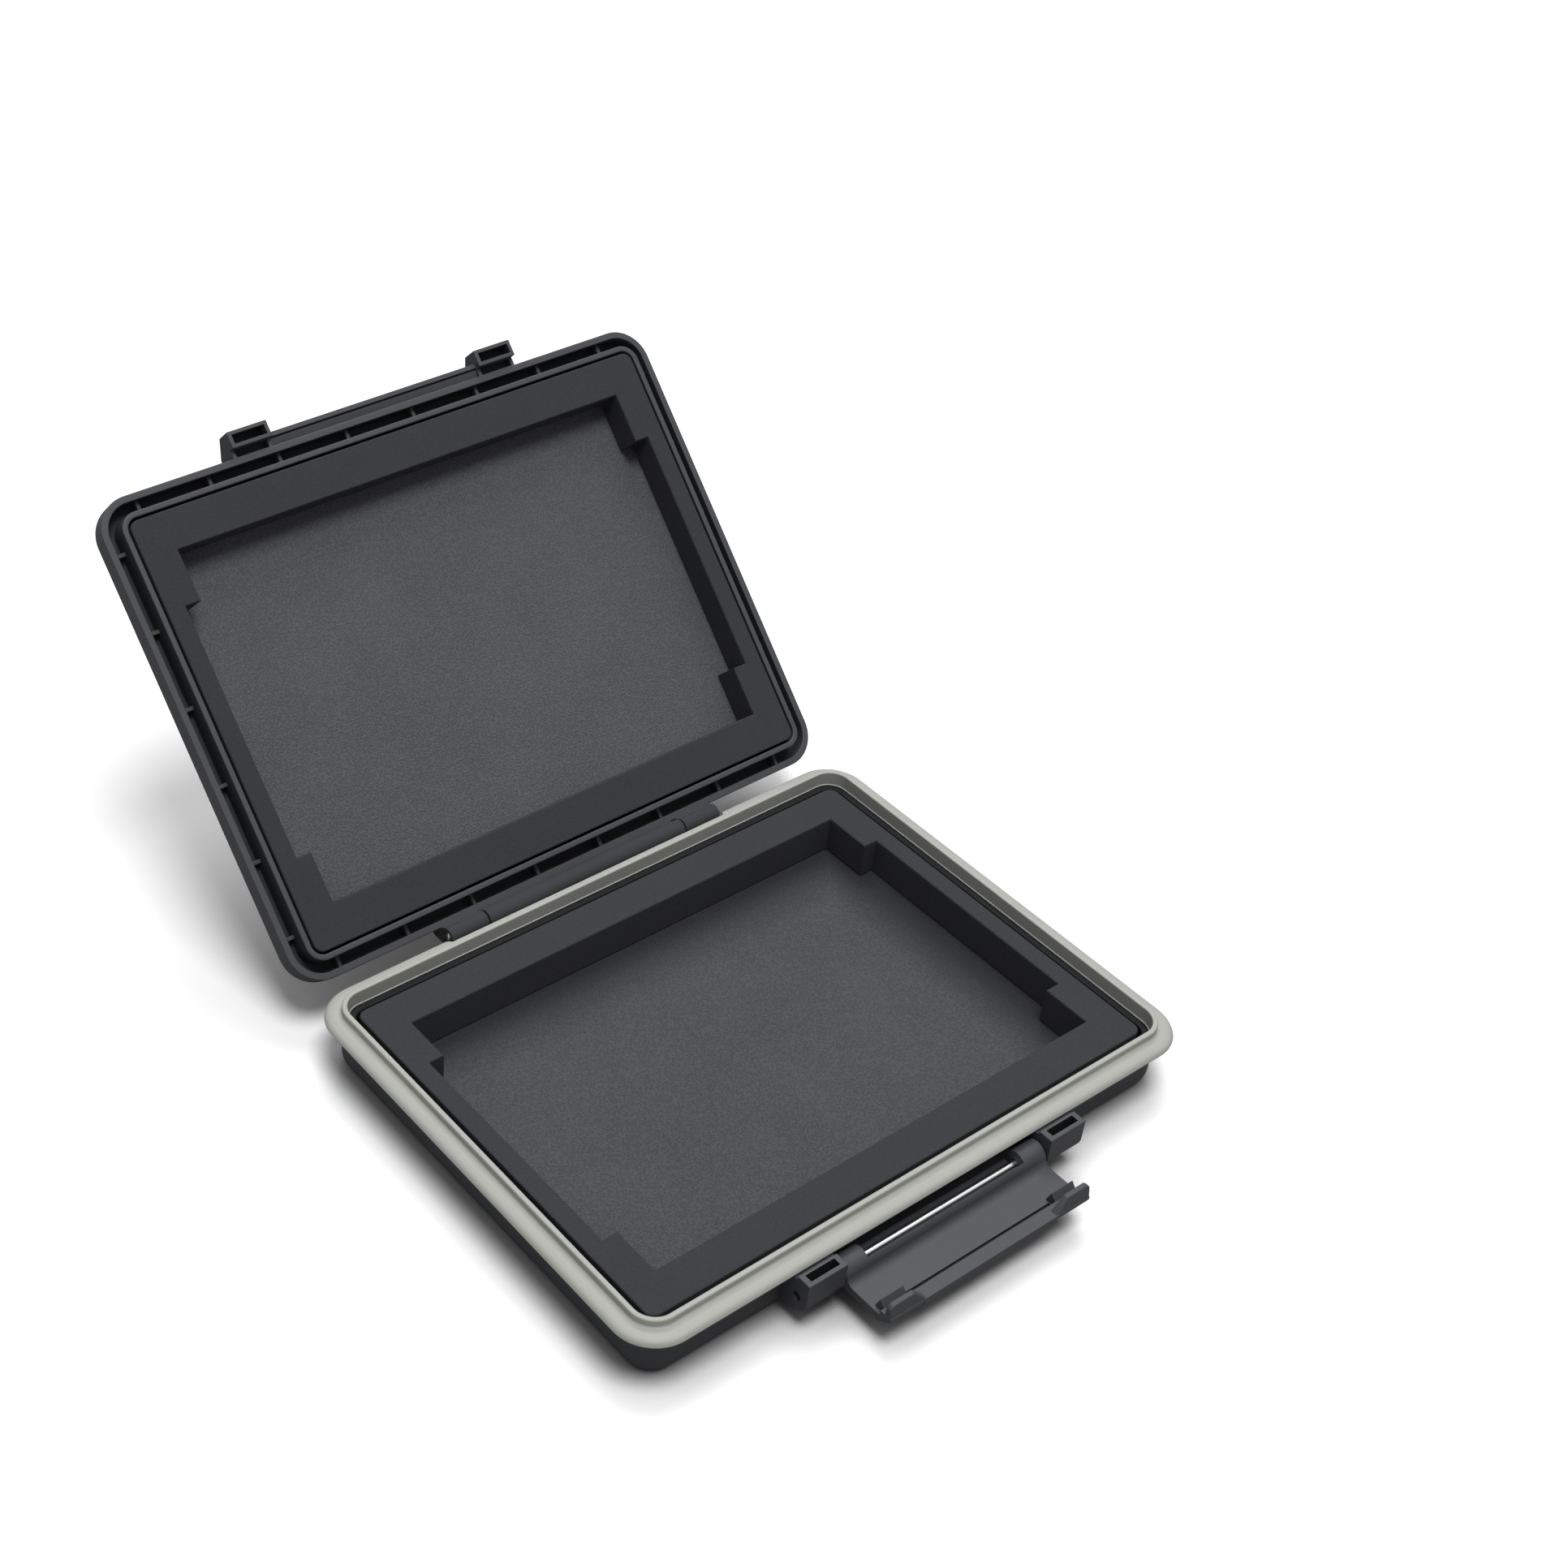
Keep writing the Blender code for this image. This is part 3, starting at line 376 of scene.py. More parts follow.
def make_foam(name, dark, light, cells_per_mm, depth, wall_shade=0.0):
    """Fine cells; with the wall shade set, painted shadow darkens the pad towards the pocket's
    rear and right wall.
    """
    material, tree, shader = new_material(name, dark, 0.95, specular=0.25)
    place = tree.nodes.new("ShaderNodeTexCoord").outputs["Object"]
    cells = node(tree, "ShaderNodeTexVoronoi", Scale=cells_per_mm * 1000.0, Randomness=1.0)
    tree.links.new(place, cells.inputs["Vector"])
    grain = use_group(tree, grain_group, Grains_per_mm=cells_per_mm * 0.8, Coarse_share=0.5)
    pit = smooth_step(tree, cells.outputs["Distance"], 0.15, 0.75)
    drift = math_node(tree, "MULTIPLY", grain.outputs["Drift"], 0.5)
    both = math_node(tree, "ADD", math_node(tree, "MULTIPLY", pit, 0.6), drift, clamp=True)
    mix = vary_colour(tree, shader, both, dark, light)
    # Painted shadow: the colour darkens towards the pocket's rear and right walls.
    if wall_shade:
        split = tree.nodes.new("ShaderNodeSeparateXYZ")
        tree.links.new(place, split.inputs[0])
        right = smooth_step(tree, split.outputs["X"], CUT_X - 12 * MM, CUT_X + 0.5 * MM)
        rear = smooth_step(tree, split.outputs["Y"], CUT_Y - 15 * MM, CUT_Y)
        near = math_node(tree, "MULTIPLY", math_node(tree, "MAXIMUM", right, rear), wall_shade)
        shade = node(tree, "ShaderNodeMix", data_type="RGBA")
        shade.inputs["B"].default_value = (0.016, 0.0165, 0.018, 1.0)
        tree.links.new(near, shade.inputs["Factor"])
        tree.links.new(mix.outputs["Result"], shade.inputs["A"])
        tree.links.new(shade.outputs["Result"], shader.inputs["Base Color"])
    height = math_node(tree, "ADD", pit, grain.outputs["Height"])
    bump(tree, shader, height, depth, 0.8)
    return material


ring_foam = make_foam("ring_foam", (0.027, 0.028, 0.031), (0.04, 0.041, 0.045), 4.6, 0.035 * MM)
pad_foam = make_foam("pad_foam", (0.056, 0.058, 0.064), (0.1, 0.102, 0.11), 2.6, 0.08 * MM)
# The base's pad: a darker copy of the pad foam as painted shade, with the painted wall shadow.
shaded_pad_foam = make_foam("shaded_pad_foam", (0.04, 0.0412, 0.0455), (0.073, 0.075, 0.081), 2.6,
                       0.08 * MM, wall_shade=0.8)
print("foams:", ring_foam.name, pad_foam.name, shaded_pad_foam.name)

# %% [markdown]
# The pins are bright drawn steel. Drawing leaves fine lines along the wire, so the noise is
# stretched along X, the direction of both pins, by a Mapping node.

# %% Steel material
def make_pin_steel():
    material, tree, shader = new_material("drawn_steel", (0.82, 0.82, 0.83), 0.18, metallic=1.0)
    place = tree.nodes.new("ShaderNodeTexCoord").outputs["Object"]
    stretch = node(tree, "ShaderNodeMapping")
    stretch.inputs["Scale"].default_value = (400.0, 20000.0, 20000.0)
    tree.links.new(place, stretch.inputs["Vector"])
    lines = node(tree, "ShaderNodeTexNoise", Scale=1.0, Detail=3.0, Roughness=0.6)
    tree.links.new(stretch.outputs["Vector"], lines.inputs["Vector"])
    vary_colour(tree, shader, lines.outputs["Fac"], (0.86, 0.86, 0.87), (0.93, 0.93, 0.94))
    vary_roughness(tree, shader, lines.outputs["Fac"], 0.18, 0.24)
    bump(tree, shader, lines.outputs["Fac"], 0.002 * MM, 0.2)
    return material


pin_steel = make_pin_steel()
print("steel:", pin_steel.name)

# %% [markdown]
# ## Modelling helpers
#
# Every moulding here is a swept section with some blocks and rods joined to it, and a few
# openings cut out. `rounded_section` lays a section out flat and rounds its corners with a
# vertex bevel; `sweep` turns it round the four corners of the rim line and draws it along
# the straight sides. `block` extrudes an outline across the case and bevels its edges. A
# Boolean modifier then joins or cuts, and `settle` keeps its result as plain mesh.

# %% Sections swept round the rim line
CORNER_STEPS = 20
MERGE = 0.001 * MM


def pick(geometry, kind):
    """Only the vertices, or only the edges, of a mixed list."""
    return [item for item in geometry if isinstance(item, kind)]


def rounded_section(points, closed):
    """Wire edges of a section of (offset, z, corner radius) in mm, at the first corner."""
    bm = bmesh.new()
    start = Vector((RIM_X, RIM_Y - RIM_RADIUS, 0))
    verts = [bm.verts.new(start + Vector((offset * MM, 0, z * MM))) for offset, z, _ in points]
    bm.faces.new(verts)
    ends = (verts[-1], verts[0])
    radii = sorted({radius for _, _, radius in points if radius})
    for size in radii:
        corners = [vert for vert, (_, _, radius) in zip(verts, points) if radius == size]
        bmesh.ops.bevel(bm, geom=corners, offset=size * MM, offset_type="OFFSET", segments=4,
                        profile=0.5, affect="VERTICES", material=-1)
    bmesh.ops.delete(bm, geom=bm.faces[:], context="FACES_ONLY")
    if not closed:
        chord = [edge for edge in ends[0].link_edges if edge.other_vert(ends[0]) == ends[1]]
        bmesh.ops.delete(bm, geom=chord, context="EDGES")
    return bm


def sweep(points, closed):
    """Run a section round the rim line: a turn at each corner, then a straight side."""
    bm = rounded_section(points, closed)
    section = bm.verts[:] + bm.edges[:]
    turns = [(1, 1), (-1, 1), (-1, -1), (1, -1)]
    centres = [Vector((x * (RIM_X - RIM_RADIUS), y * (RIM_Y - RIM_RADIUS), 0)) for x, y in turns]
    for here, there in zip(centres, centres[1:] + centres[:1]):
        turned = bmesh.ops.spin(bm, geom=section, cent=here, axis=(0, 0, 1),
                                angle=math.radians(90), steps=CORNER_STEPS)
        edges = pick(turned["geom_last"], bmesh.types.BMEdge)
        run = bmesh.ops.extrude_edge_only(bm, edges=edges)["geom"]
        bmesh.ops.translate(bm, verts=pick(run, bmesh.types.BMVert), vec=there - here)
        section = pick(run, bmesh.types.BMVert) + pick(run, bmesh.types.BMEdge)
    bmesh.ops.remove_doubles(bm, verts=bm.verts, dist=MERGE)
    bmesh.ops.holes_fill(bm, edges=[edge for edge in bm.edges if edge.is_boundary])
    bmesh.ops.recalc_face_normals(bm, faces=bm.faces)
    return bm


# %% Blocks, rods and boxes
def bevel_edges(bm, edges, radius, segments=3):
    """Round some edges, by a radius in mm."""
    bmesh.ops.bevel(bm, geom=edges, offset=radius * MM, offset_type="OFFSET", segments=segments,
                    profile=0.5, affect="EDGES", material=-1, clamp_overlap=True)


def round_sharp(bm, radius, segments=3, least=25.0):
    """Bevel every edge that turns by more than an angle."""
    limit = math.radians(least)
    edges = [edge for edge in bm.edges if edge.is_manifold and edge.calc_face_angle(0) > limit]
    bevel_edges(bm, edges, radius, segments)


def block(outline, low, high, radius=0.17, axis="X"):
    """Extrude an outline of (y, z) along X, or of (x, z) along Y, in metres."""
    bm = bmesh.new()
    if axis == "X":
        verts = [bm.verts.new((low, y, z)) for y, z in outline]
        run = Vector((high - low, 0, 0))
    else:
        verts = [bm.verts.new((x, low, z)) for x, z in outline]
        run = Vector((0, high - low, 0))
    moved = bmesh.ops.extrude_face_region(bm, geom=[bm.faces.new(verts)])["geom"]
    bmesh.ops.translate(bm, verts=pick(moved, bmesh.types.BMVert), vec=run)
    bmesh.ops.recalc_face_normals(bm, faces=bm.faces)
    if radius:
        round_sharp(bm, radius)
    return bm


def box(low, high, radius=0.0):
    """A box between two corners, in metres."""
    bm = bmesh.new()
    low, high = Vector(low), Vector(high)
    place = Matrix.Translation((low + high) / 2) @ Matrix.Diagonal((*(high - low), 1))
    bmesh.ops.create_cube(bm, size=1, matrix=place)
    if radius:
        round_sharp(bm, radius)
    return bm


def rod(radius, low, high, y, z, edge=0.15, steps=48):
    """A rod along X with rounded ends."""
    bm = bmesh.new()
    lie_down = Matrix.Rotation(math.radians(90), 4, "Y")
    place = Matrix.Translation(((low + high) / 2, y, z)) @ lie_down
    bmesh.ops.create_cone(bm, cap_ends=True, segments=steps, radius1=radius, radius2=radius,
                          depth=high - low, matrix=place)
    if edge:
        round_sharp(bm, edge, least=60.0)
    return bm


def both_sides(make, inner, outer):
    """The same shape at +X and, mirrored, at -X."""
    return [make(inner, outer), make(-outer, -inner)]


# %% Objects, joins and cuts
def to_object(bm, name, materials):
    """Put a bmesh into the scene as an object with its material slots."""
    mesh = bpy.data.meshes.new(name)
    bm.to_mesh(mesh)
    bm.free()
    item = bpy.data.objects.new(name, mesh)
    for material in materials:
        mesh.materials.append(material)
    bpy.context.scene.collection.objects.link(item)
    return item


def settle(item):
    """Keep what the modifiers make as the object's own mesh."""
    bpy.context.view_layer.update()
    shown = item.evaluated_get(bpy.context.evaluated_depsgraph_get())
    mesh = bpy.data.meshes.new_from_object(shown)
    item.modifiers.clear()
    item.data = mesh


def combine(target, operation, shapes, material=satin_plastic):
    """Join bmeshes to an object, or cut them out of it, one after another."""
    for number, bm in enumerate(shapes):
        tool = to_object(bm, f"{target.name}_{operation.lower()}_{number}", [material])
        modifier = target.modifiers.new("join", "BOOLEAN")
        modifier.operation = operation
        modifier.solver = "EXACT"
        modifier.material_mode = "TRANSFER"
        modifier.object = tool
        settle(target)
        bpy.data.objects.remove(tool)


def rim_offset(point):
    """How far a point lies outside the rim line, in mm."""
    past_x = abs(point.x) - RIM_X + RIM_RADIUS
    past_y = abs(point.y) - RIM_Y + RIM_RADIUS
    outside = math.hypot(max(past_x, 0), max(past_y, 0))
    return (outside + min(max(past_x, past_y), 0) - RIM_RADIUS) / MM


def paint_shade_faces(item, inner, outer, low, high):
    """Give the faces between two offsets and two heights, in mm, the third material, a darker
    plastic that paints shade.
    """
    for face in item.data.polygons:
        middle = face.center
        if low < middle.z / MM < high and inner < rim_offset(middle) < outer:
            face.material_index = 2


def dress(item, body, nodes, turn=None, sharp=32.0):
    """Smooth shading, the place of an opened body, and what the piece stands for."""
    if turn:
        item.data.transform(turn)
    item.data.shade_smooth()
    item.data.set_sharp_from_angle(angle=math.radians(sharp))
    normals = item.modifiers.new("even normals", "WEIGHTED_NORMAL")
    normals.keep_sharp = True
    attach(item, body)
    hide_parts(*nodes)
    print(item.name, len(item.data.polygons), "faces on", body)


# The lid is modelled closed, where its sizes meet the base's, and this opens it.
OPENED = (Matrix.Translation(HINGE) @ Matrix.Rotation(-LID_ANGLE, 4, "X")
          @ Matrix.Translation(-HINGE))

# %% [markdown]
# ## The base shell
#
# The base is one deep tray. Its wall is double at the top: the groove between the two
# walls locates the seal frame. Two lugs at the front carry the latch pin, and a long barrel
# at the back carries the hinge pin. On the real moulding every edge has a small radius, so
# that the plastic flows and the part leaves its mould, and that radius is what catches the
# light.

# %% Base tray
SHELL_TOP = 10.7
LUG_INNER = LATCH_HALF + 0.3 * MM
LUG_OUTER = LUG_INNER + 8.58 * MM

base_section = [
    (-3.1, 0.0, 0),
    (0.0, 0.0, 0.6),
    (1.17, 2.13, 0.8),
    (1.17, 7.82, 0.2),
    (2.23, 7.82, 0.3),
    (2.23, SHELL_TOP, 0.25),
    (0.86, SHELL_TOP, 0.18),
    (0.86, 8.5, 0.15),
    (-0.3, 8.5, 0.15),
    (-0.3, SHELL_TOP, 0.18),
    (-1.4, SHELL_TOP, 0.2),
    (-1.4, 1.37, 0.4),
    (-3.1, 1.37, 0),
]
base_shell = to_object(sweep(base_section, False), "base_tray",
                       [satin_plastic, pebble_plastic, pocket_shade_plastic])
# The inner wall and ledge take the darkest plastic as painted shade.
paint_shade_faces(base_shell, -1.5, -0.2, 2.0, 10.8)
print("tray:", len(base_shell.data.polygons), "faces")

# %% Lugs and hinge barrel of the base
KNUCKLE_RADIUS = 1.82 * MM
PIN_BORE = 0.96 * MM
BARREL_HALF = 23.58 * MM


def base_lug(low, high):
    """Square at the top, round at the pin, with a gusset that runs back to the wall."""
    wall = -(RIM_Y + 0.9 * MM)
    clear = -(RIM_Y + FLANGE_OFFSET + 0.5 * MM)
    under_flange = 10.45 * MM
    top = RIDGE_Z - 2.66 * MM
    outline = [(wall, under_flange), (clear, under_flange), (clear, top), (LUG_FRONT, top)]
    for step in range(11):
        angle = math.radians(180 + 7 * step)
        outline.append((LATCH.y + LATCH_RADIUS * math.cos(angle),
                        LATCH.z + LATCH_RADIUS * math.sin(angle)))
    foot_y, foot_z = outline[-1]
    outline.append((wall, foot_z - (wall - foot_y) * 0.364))
    return block(outline, low, high, 0.2)


def base_barrel_web(half):
    """What joins the barrel to the rear wall."""
    wall = RIM_Y + 0.9 * MM
    outline = [(wall, 8.0 * MM), (HINGE.y + 0.6 * MM, HINGE.z - 1.65 * MM), (HINGE.y, HINGE.z),
               (HINGE.y - 1.3 * MM, 10.4 * MM), (wall, 10.4 * MM)]
    return block(outline, -half + 0.2 * MM, half - 0.2 * MM, 0)


combine(base_shell, "UNION", both_sides(base_lug, LUG_INNER, LUG_OUTER))
barrel = rod(KNUCKLE_RADIUS + 0.05 * MM, -BARREL_HALF, BARREL_HALF, HINGE.y, HINGE.z, 0.18)
# The barrel and its web take the darker plastic, painted shade under the open lid.
combine(base_shell, "UNION", [base_barrel_web(BARREL_HALF), barrel], channel_shade_plastic)
print("with lugs and barrel:", len(base_shell.data.polygons), "faces")

# %% Bores and lug pockets of the base
def lug_pocket(low, high):
    """The open pocket in a lug's top, which keeps the plastic even in thickness."""
    margin = 1.1 * MM
    floor = LATCH.z + 1.5 * MM
    return box((low + margin, LUG_FRONT + 0.85 * MM, floor),
               (high - margin, LATCH.y - 0.2 * MM, RIDGE_Z), 0.15)


def pin_bore(axis, reach=40 * MM):
    """A round cutter along a joint's axis, longer than the bore."""
    return rod(PIN_BORE, -reach, reach, axis.y, axis.z, 0)


# The lug pockets take the darkest plastic as painted shade.
combine(base_shell, "DIFFERENCE", both_sides(lug_pocket, LUG_INNER, LUG_OUTER), pocket_shade_plastic)
combine(base_shell, "DIFFERENCE", [pin_bore(HINGE), pin_bore(LATCH)])
dress(base_shell, "base", ["base_shell"])

# %% [markdown]
# ## The seal frame
#
# The light-grey frame sits on the base's rim. Its ridge rises into the lid's channel and
# keeps dust out, and round the ridge a flange falls away in a soft curve. One section holds
# both. Behind, the frame is notched to let the hinge knuckles turn.

# %% Seal frame
seal_section = [
    (0.0, 13.87, 0.25),
    (1.0, 13.87, 0.3),
    (1.02, 12.5, 0.18),
    (1.55, 12.2, 0.35),
    (2.3, 12.36, 0.5),
    (3.5, 12.04, 0.3),
    (3.92, 11.68, 0.2),
    (4.19, 11.2, 0.16),
    (4.19, 11.0, 0.1),
    (0.65, 11.0, 0),
    (0.65, 8.8, 0.08),
    (0.03, 8.8, 0.08),
    (0.03, 10.78, 0),
    (-0.18, 10.78, 0.04),
    (-0.18, 10.9, 0.05),
    (0.0, 10.96, 0.03),
]
seal_frame = to_object(sweep(seal_section, True), "rim_seal", [seal_rubber])


def hinge_notch():
    """The flange ends a little beyond the knuckles, on a slant."""
    half = 32.7 * MM
    slant = 2.0 * MM
    near = RIM_Y + 2.65 * MM
    far = RIM_Y + 5.5 * MM
    bm = bmesh.new()
    corners = [(-half, near), (half, near), (half + slant, far), (-half - slant, far)]
    face = bm.faces.new([bm.verts.new((x, y, 5 * MM)) for x, y in corners])
    moved = bmesh.ops.extrude_face_region(bm, geom=[face])["geom"]
    bmesh.ops.translate(bm, verts=pick(moved, bmesh.types.BMVert), vec=(0, 0, 15 * MM))
    bmesh.ops.recalc_face_normals(bm, faces=bm.faces)
    return bm


combine(seal_frame, "DIFFERENCE", [hinge_notch()], seal_rubber)
dress(seal_frame, "base", ["seal_frame"])

# %% [markdown]
# ## The lid shell
#
# The lid is the shallower tray. Seen from inside it has a flat lip, then a deep channel for
# the seal's ridge with small ribs across it, then a thin ring that holds the foam. Outside,
# an upright wall leads to a slope that runs in to the face. It is modelled closed and turned
# open at the end.

# %% Lid tray
CHANNEL_TOP = 17.17
LID_TOP = LID_TOP_Z / MM

lid_section = [
    (-3.1, LID_TOP, 0),
    (0.24, LID_TOP, 0.35),
    (2.78, 17.93, 0.4),
    (2.88, 13.53, 0.22),
    (1.51, 13.53, 0.18),
    (1.51, CHANNEL_TOP, 0.2),
    (-0.62, CHANNEL_TOP, 0.2),
    (-0.62, 12.09, 0.22),
    (-1.72, 12.09, 0.22),
    (-1.72, LID_TOP - 0.95, 0.3),
    (-3.1, LID_TOP - 0.95, 0),
]
lid_shell = to_object(sweep(lid_section, False), "lid_tray",
                      [satin_plastic, pebble_plastic, channel_shade_plastic])
# The channel's walls and floor take the darker plastic as painted shade.
paint_shade_faces(lid_shell, -0.7, 1.6, 14.4, 17.3)


def latch_bay():
    """Room in the slope for the closed latch's finger stops."""
    floor = LATCH.z + 11.05 * MM
    back = -(RIM_Y + 1.79 * MM)
    return box((-LUG_INNER, LUG_FRONT, floor), (LUG_INNER, back, 30 * MM))


combine(lid_shell, "DIFFERENCE", [latch_bay()])
print("lid tray:", len(lid_shell.data.polygons), "faces")

# %% Ribs in the lid's channel
RIB_HALF = 0.38 * MM


def channel_ribs():
    """All ribs in one bmesh, evenly spaced on each side."""
    bm = bmesh.new()
    low, high = RIDGE_Z + 1.3 * MM, RIDGE_Z + 3.02 * MM
    inner, outer = -1.17 * MM, 2.06 * MM
    last_x, last_y = RIM_X - 6.69 * MM, RIM_Y - 6.93 * MM
    places = []
    for index in range(8):
        x = last_x * (2 * index / 7 - 1)
        for side in (1, -1):
            ends = sorted((side * (RIM_Y + inner), side * (RIM_Y + outer)))
            places.append(((x - RIB_HALF, ends[0], low), (x + RIB_HALF, ends[1], high)))
    for index in range(6):
        y = last_y * (2 * index / 5 - 1)
        for side in (1, -1):
            ends = sorted((side * (RIM_X + inner), side * (RIM_X + outer)))
            places.append(((ends[0], y - RIB_HALF, low), (ends[1], y + RIB_HALF, high)))
    for first, last in places:
        first, last = Vector(first), Vector(last)
        place = Matrix.Translation((first + last) / 2) @ Matrix.Diagonal((*(last - first), 1))
        bmesh.ops.create_cube(bm, size=1, matrix=place)
    round_sharp(bm, 0.12, 2)
    return bm


combine(lid_shell, "UNION", [channel_ribs()])
print("with ribs:", len(lid_shell.data.polygons), "faces")

# %% Lugs, catch rail and knuckles of the lid
def lid_lug(low, high):
    """A hollow block that reaches over the base's lug, sloping back to the lid's face."""
    root = -(RIM_Y + 1.75 * MM)
    under = 12.08 * MM
    step = LUG_FRONT + 3.3 * MM
    outline = [
        (root, 17.9 * MM),
        (-(RIM_Y + 0.3 * MM), LID_TOP_Z - 0.12 * MM),
        (LUG_FRONT + 3.43 * MM, LID_TOP_Z - 1.27 * MM),
        (LUG_FRONT, under + 3.98 * MM),
        (LUG_FRONT, under),
        (step, under),
        (step, LID_LIP_Z + 0.1 * MM),
        (root, LID_LIP_Z + 0.1 * MM),
    ]
    return block(outline, low, high, 0.2)


def catch_rail():
    """The bar that the latch's teeth snap over, on a shelf between the lugs."""
    front = LATCH.y - 0.41 * MM
    top = LID_LIP_Z + 1.48 * MM
    root = -(RIM_Y + 1.75 * MM)
    inner = front + 0.89 * MM
    outline = [(front, top), (front, top - 1.37 * MM), (inner, top - 1.37 * MM),
               (inner, top - 0.4 * MM), (inner + 0.3 * MM, top - 0.4 * MM),
               (inner + 0.3 * MM, top - 1.05 * MM), (root, top - 0.2 * MM), (root, top)]
    return block(outline, -LUG_INNER - 0.5 * MM, LUG_INNER + 0.5 * MM, 0.12)


def rear_bead():
    """A low bead at the lid's rear edge, which closes the slit above the barrel."""
    half = BARREL_HALF - 0.2 * MM
    return box((-half, RIM_Y + 2.5 * MM, LID_LIP_Z + 0.02 * MM),
               (half, RIM_Y + 3.1 * MM, LID_LIP_Z + 0.9 * MM), 0.08)


def knuckle_web(low, high):
    """The arm that reaches down from the lid's rear wall to a knuckle."""
    wall = RIM_Y + 2.6 * MM
    top = HINGE.z + 5.1 * MM
    outline = [
        (HINGE.y - 1.81 * MM, HINGE.z),
        (wall, RIDGE_Z),
        (wall, top),
        (RIM_Y + 3.53 * MM, top),
        (HINGE.y + 1.75 * MM, HINGE.z + 2.37 * MM),
        (HINGE.y + 1.81 * MM, HINGE.z),
    ]
    return block(outline, low + 0.1 * MM, high - 0.1 * MM, 0)


def knuckle(low, high):
    return rod(KNUCKLE_RADIUS, low, high, HINGE.y, HINGE.z, 0.18)


KNUCKLE_INNER = BARREL_HALF + 0.3 * MM
KNUCKLE_OUTER = KNUCKLE_INNER + 8.48 * MM
combine(lid_shell, "UNION", both_sides(lid_lug, LUG_INNER, LUG_OUTER)
        + [catch_rail(), rear_bead()])
combine(lid_shell, "UNION", both_sides(knuckle_web, KNUCKLE_INNER, KNUCKLE_OUTER))
# The knuckles take the darker plastic, painted shade under the open lid.
combine(lid_shell, "UNION", both_sides(knuckle, KNUCKLE_INNER, KNUCKLE_OUTER), channel_shade_plastic)
print("with lugs and knuckles:", len(lid_shell.data.polygons), "faces")

# %% Pockets and bore of the lid
LUG_WALL = 0.76 * MM
HOLLOW_TOP = 15.2 * MM


def lug_hollow(low, high, front, rear):
    """A hollow inside a lug's walls, open towards the base."""
    return box((low + LUG_WALL, front, 8 * MM), (high - LUG_WALL, rear, HOLLOW_TOP), 0.1)


def front_pocket(low, high):
    """The narrow hollow at a lug's front."""
    return lug_hollow(low, high, LUG_FRONT + 0.7 * MM, LUG_FRONT + 2.55 * MM)


def rear_pocket(low, high):
    """The hollow behind it, next to the wall."""
    return lug_hollow(low, high, LUG_FRONT + 3.32 * MM, -(RIM_Y + 2.9 * MM))


# The lug pockets take the darker plastic as painted shade.
combine(lid_shell, "DIFFERENCE", both_sides(front_pocket, LUG_INNER, LUG_OUTER)
        + both_sides(rear_pocket, LUG_INNER, LUG_OUTER), channel_shade_plastic)
combine(lid_shell, "DIFFERENCE", [pin_bore(HINGE)])
print("with pockets and bore:", len(lid_shell.data.polygons), "faces")

# %% [markdown]
# The lid's face is parted by lines at 45 degrees: a sunk corner panel with sloping edges, a
# smooth raised bar, a wide panel, and a long soft slope down to the last panel. Each panel is
# a rectangle that planes have trimmed, sunk into the face with a Boolean cut. The cutters
# carry the pebble grain, and the cut faces take it over from them.

# %% Panels in the lid's face
BORDER = 1.99 * MM
BAR_LOW, BAR_HIGH = 18.7 * MM, 21.5 * MM
SLOPE_TOP, SLOPE_FOOT = -19.2 * MM, -22.3 * MM
EDGE_SLOPE = 0.76 * MM
PANEL_DEPTH = 0.62 * MM
MIDDLE_DEPTH, MIDDLE_RIM = 0.24 * MM, 0.07 * MM


def trimmed_panel(inset, limits, height):
    """A flat face inside the border, trimmed by lines x + y = limit; sign keeps a side."""
    bm = bmesh.new()
    half_x = RIM_X + 0.24 * MM - BORDER - inset
    half_y = RIM_Y + 0.24 * MM - BORDER - inset
    place = Matrix.Translation((0, 0, height)) @ Matrix.Diagonal((half_x, half_y, 1, 1))
    bmesh.ops.create_grid(bm, x_segments=1, y_segments=1, size=1, matrix=place)
    for limit, sign in limits:
        everything = bm.verts[:] + bm.edges[:] + bm.faces[:]
        bmesh.ops.bisect_plane(bm, geom=everything, dist=MERGE, plane_co=(limit, 0, 0),
                               plane_no=(-sign, -sign, 0), clear_outer=True)
    corners = [vert.co.copy() for vert in bm.verts]
    bm.free()
    return corners


def recess(floor, rim, depth, rim_depth=0.0):
    """The convex space between a floor outline and a wider rim outline, open at the top."""
    bm = bmesh.new()
    corners = trimmed_panel(*floor, LID_TOP_Z - depth)
    corners += trimmed_panel(*rim, LID_TOP_Z - rim_depth)
    corners += trimmed_panel(*rim, LID_TOP_Z + 1 * MM)
    for corner in corners:
        bm.verts.new(corner)
    bmesh.ops.convex_hull(bm, input=bm.verts[:])
    return bm


diagonal = math.sqrt(2)
middle_edges = [(BAR_LOW, -1), (SLOPE_TOP - 0.2 * MM, 1)]
upper_floor = (EDGE_SLOPE, [(BAR_HIGH + EDGE_SLOPE * diagonal, 1)])
upper = recess(upper_floor, (0, [(BAR_HIGH, 1)]), PANEL_DEPTH)
middle = recess((0, middle_edges), (0, middle_edges), MIDDLE_DEPTH, MIDDLE_RIM)
lower_floor = (EDGE_SLOPE, [(SLOPE_FOOT, -1)])
lower = recess(lower_floor, (0, [(SLOPE_TOP, -1)]), PANEL_DEPTH, MIDDLE_DEPTH)
combine(lid_shell, "DIFFERENCE", [upper, middle, lower], pebble_plastic)
dress(lid_shell, "lid", ["lid_shell"], turn=OPENED)

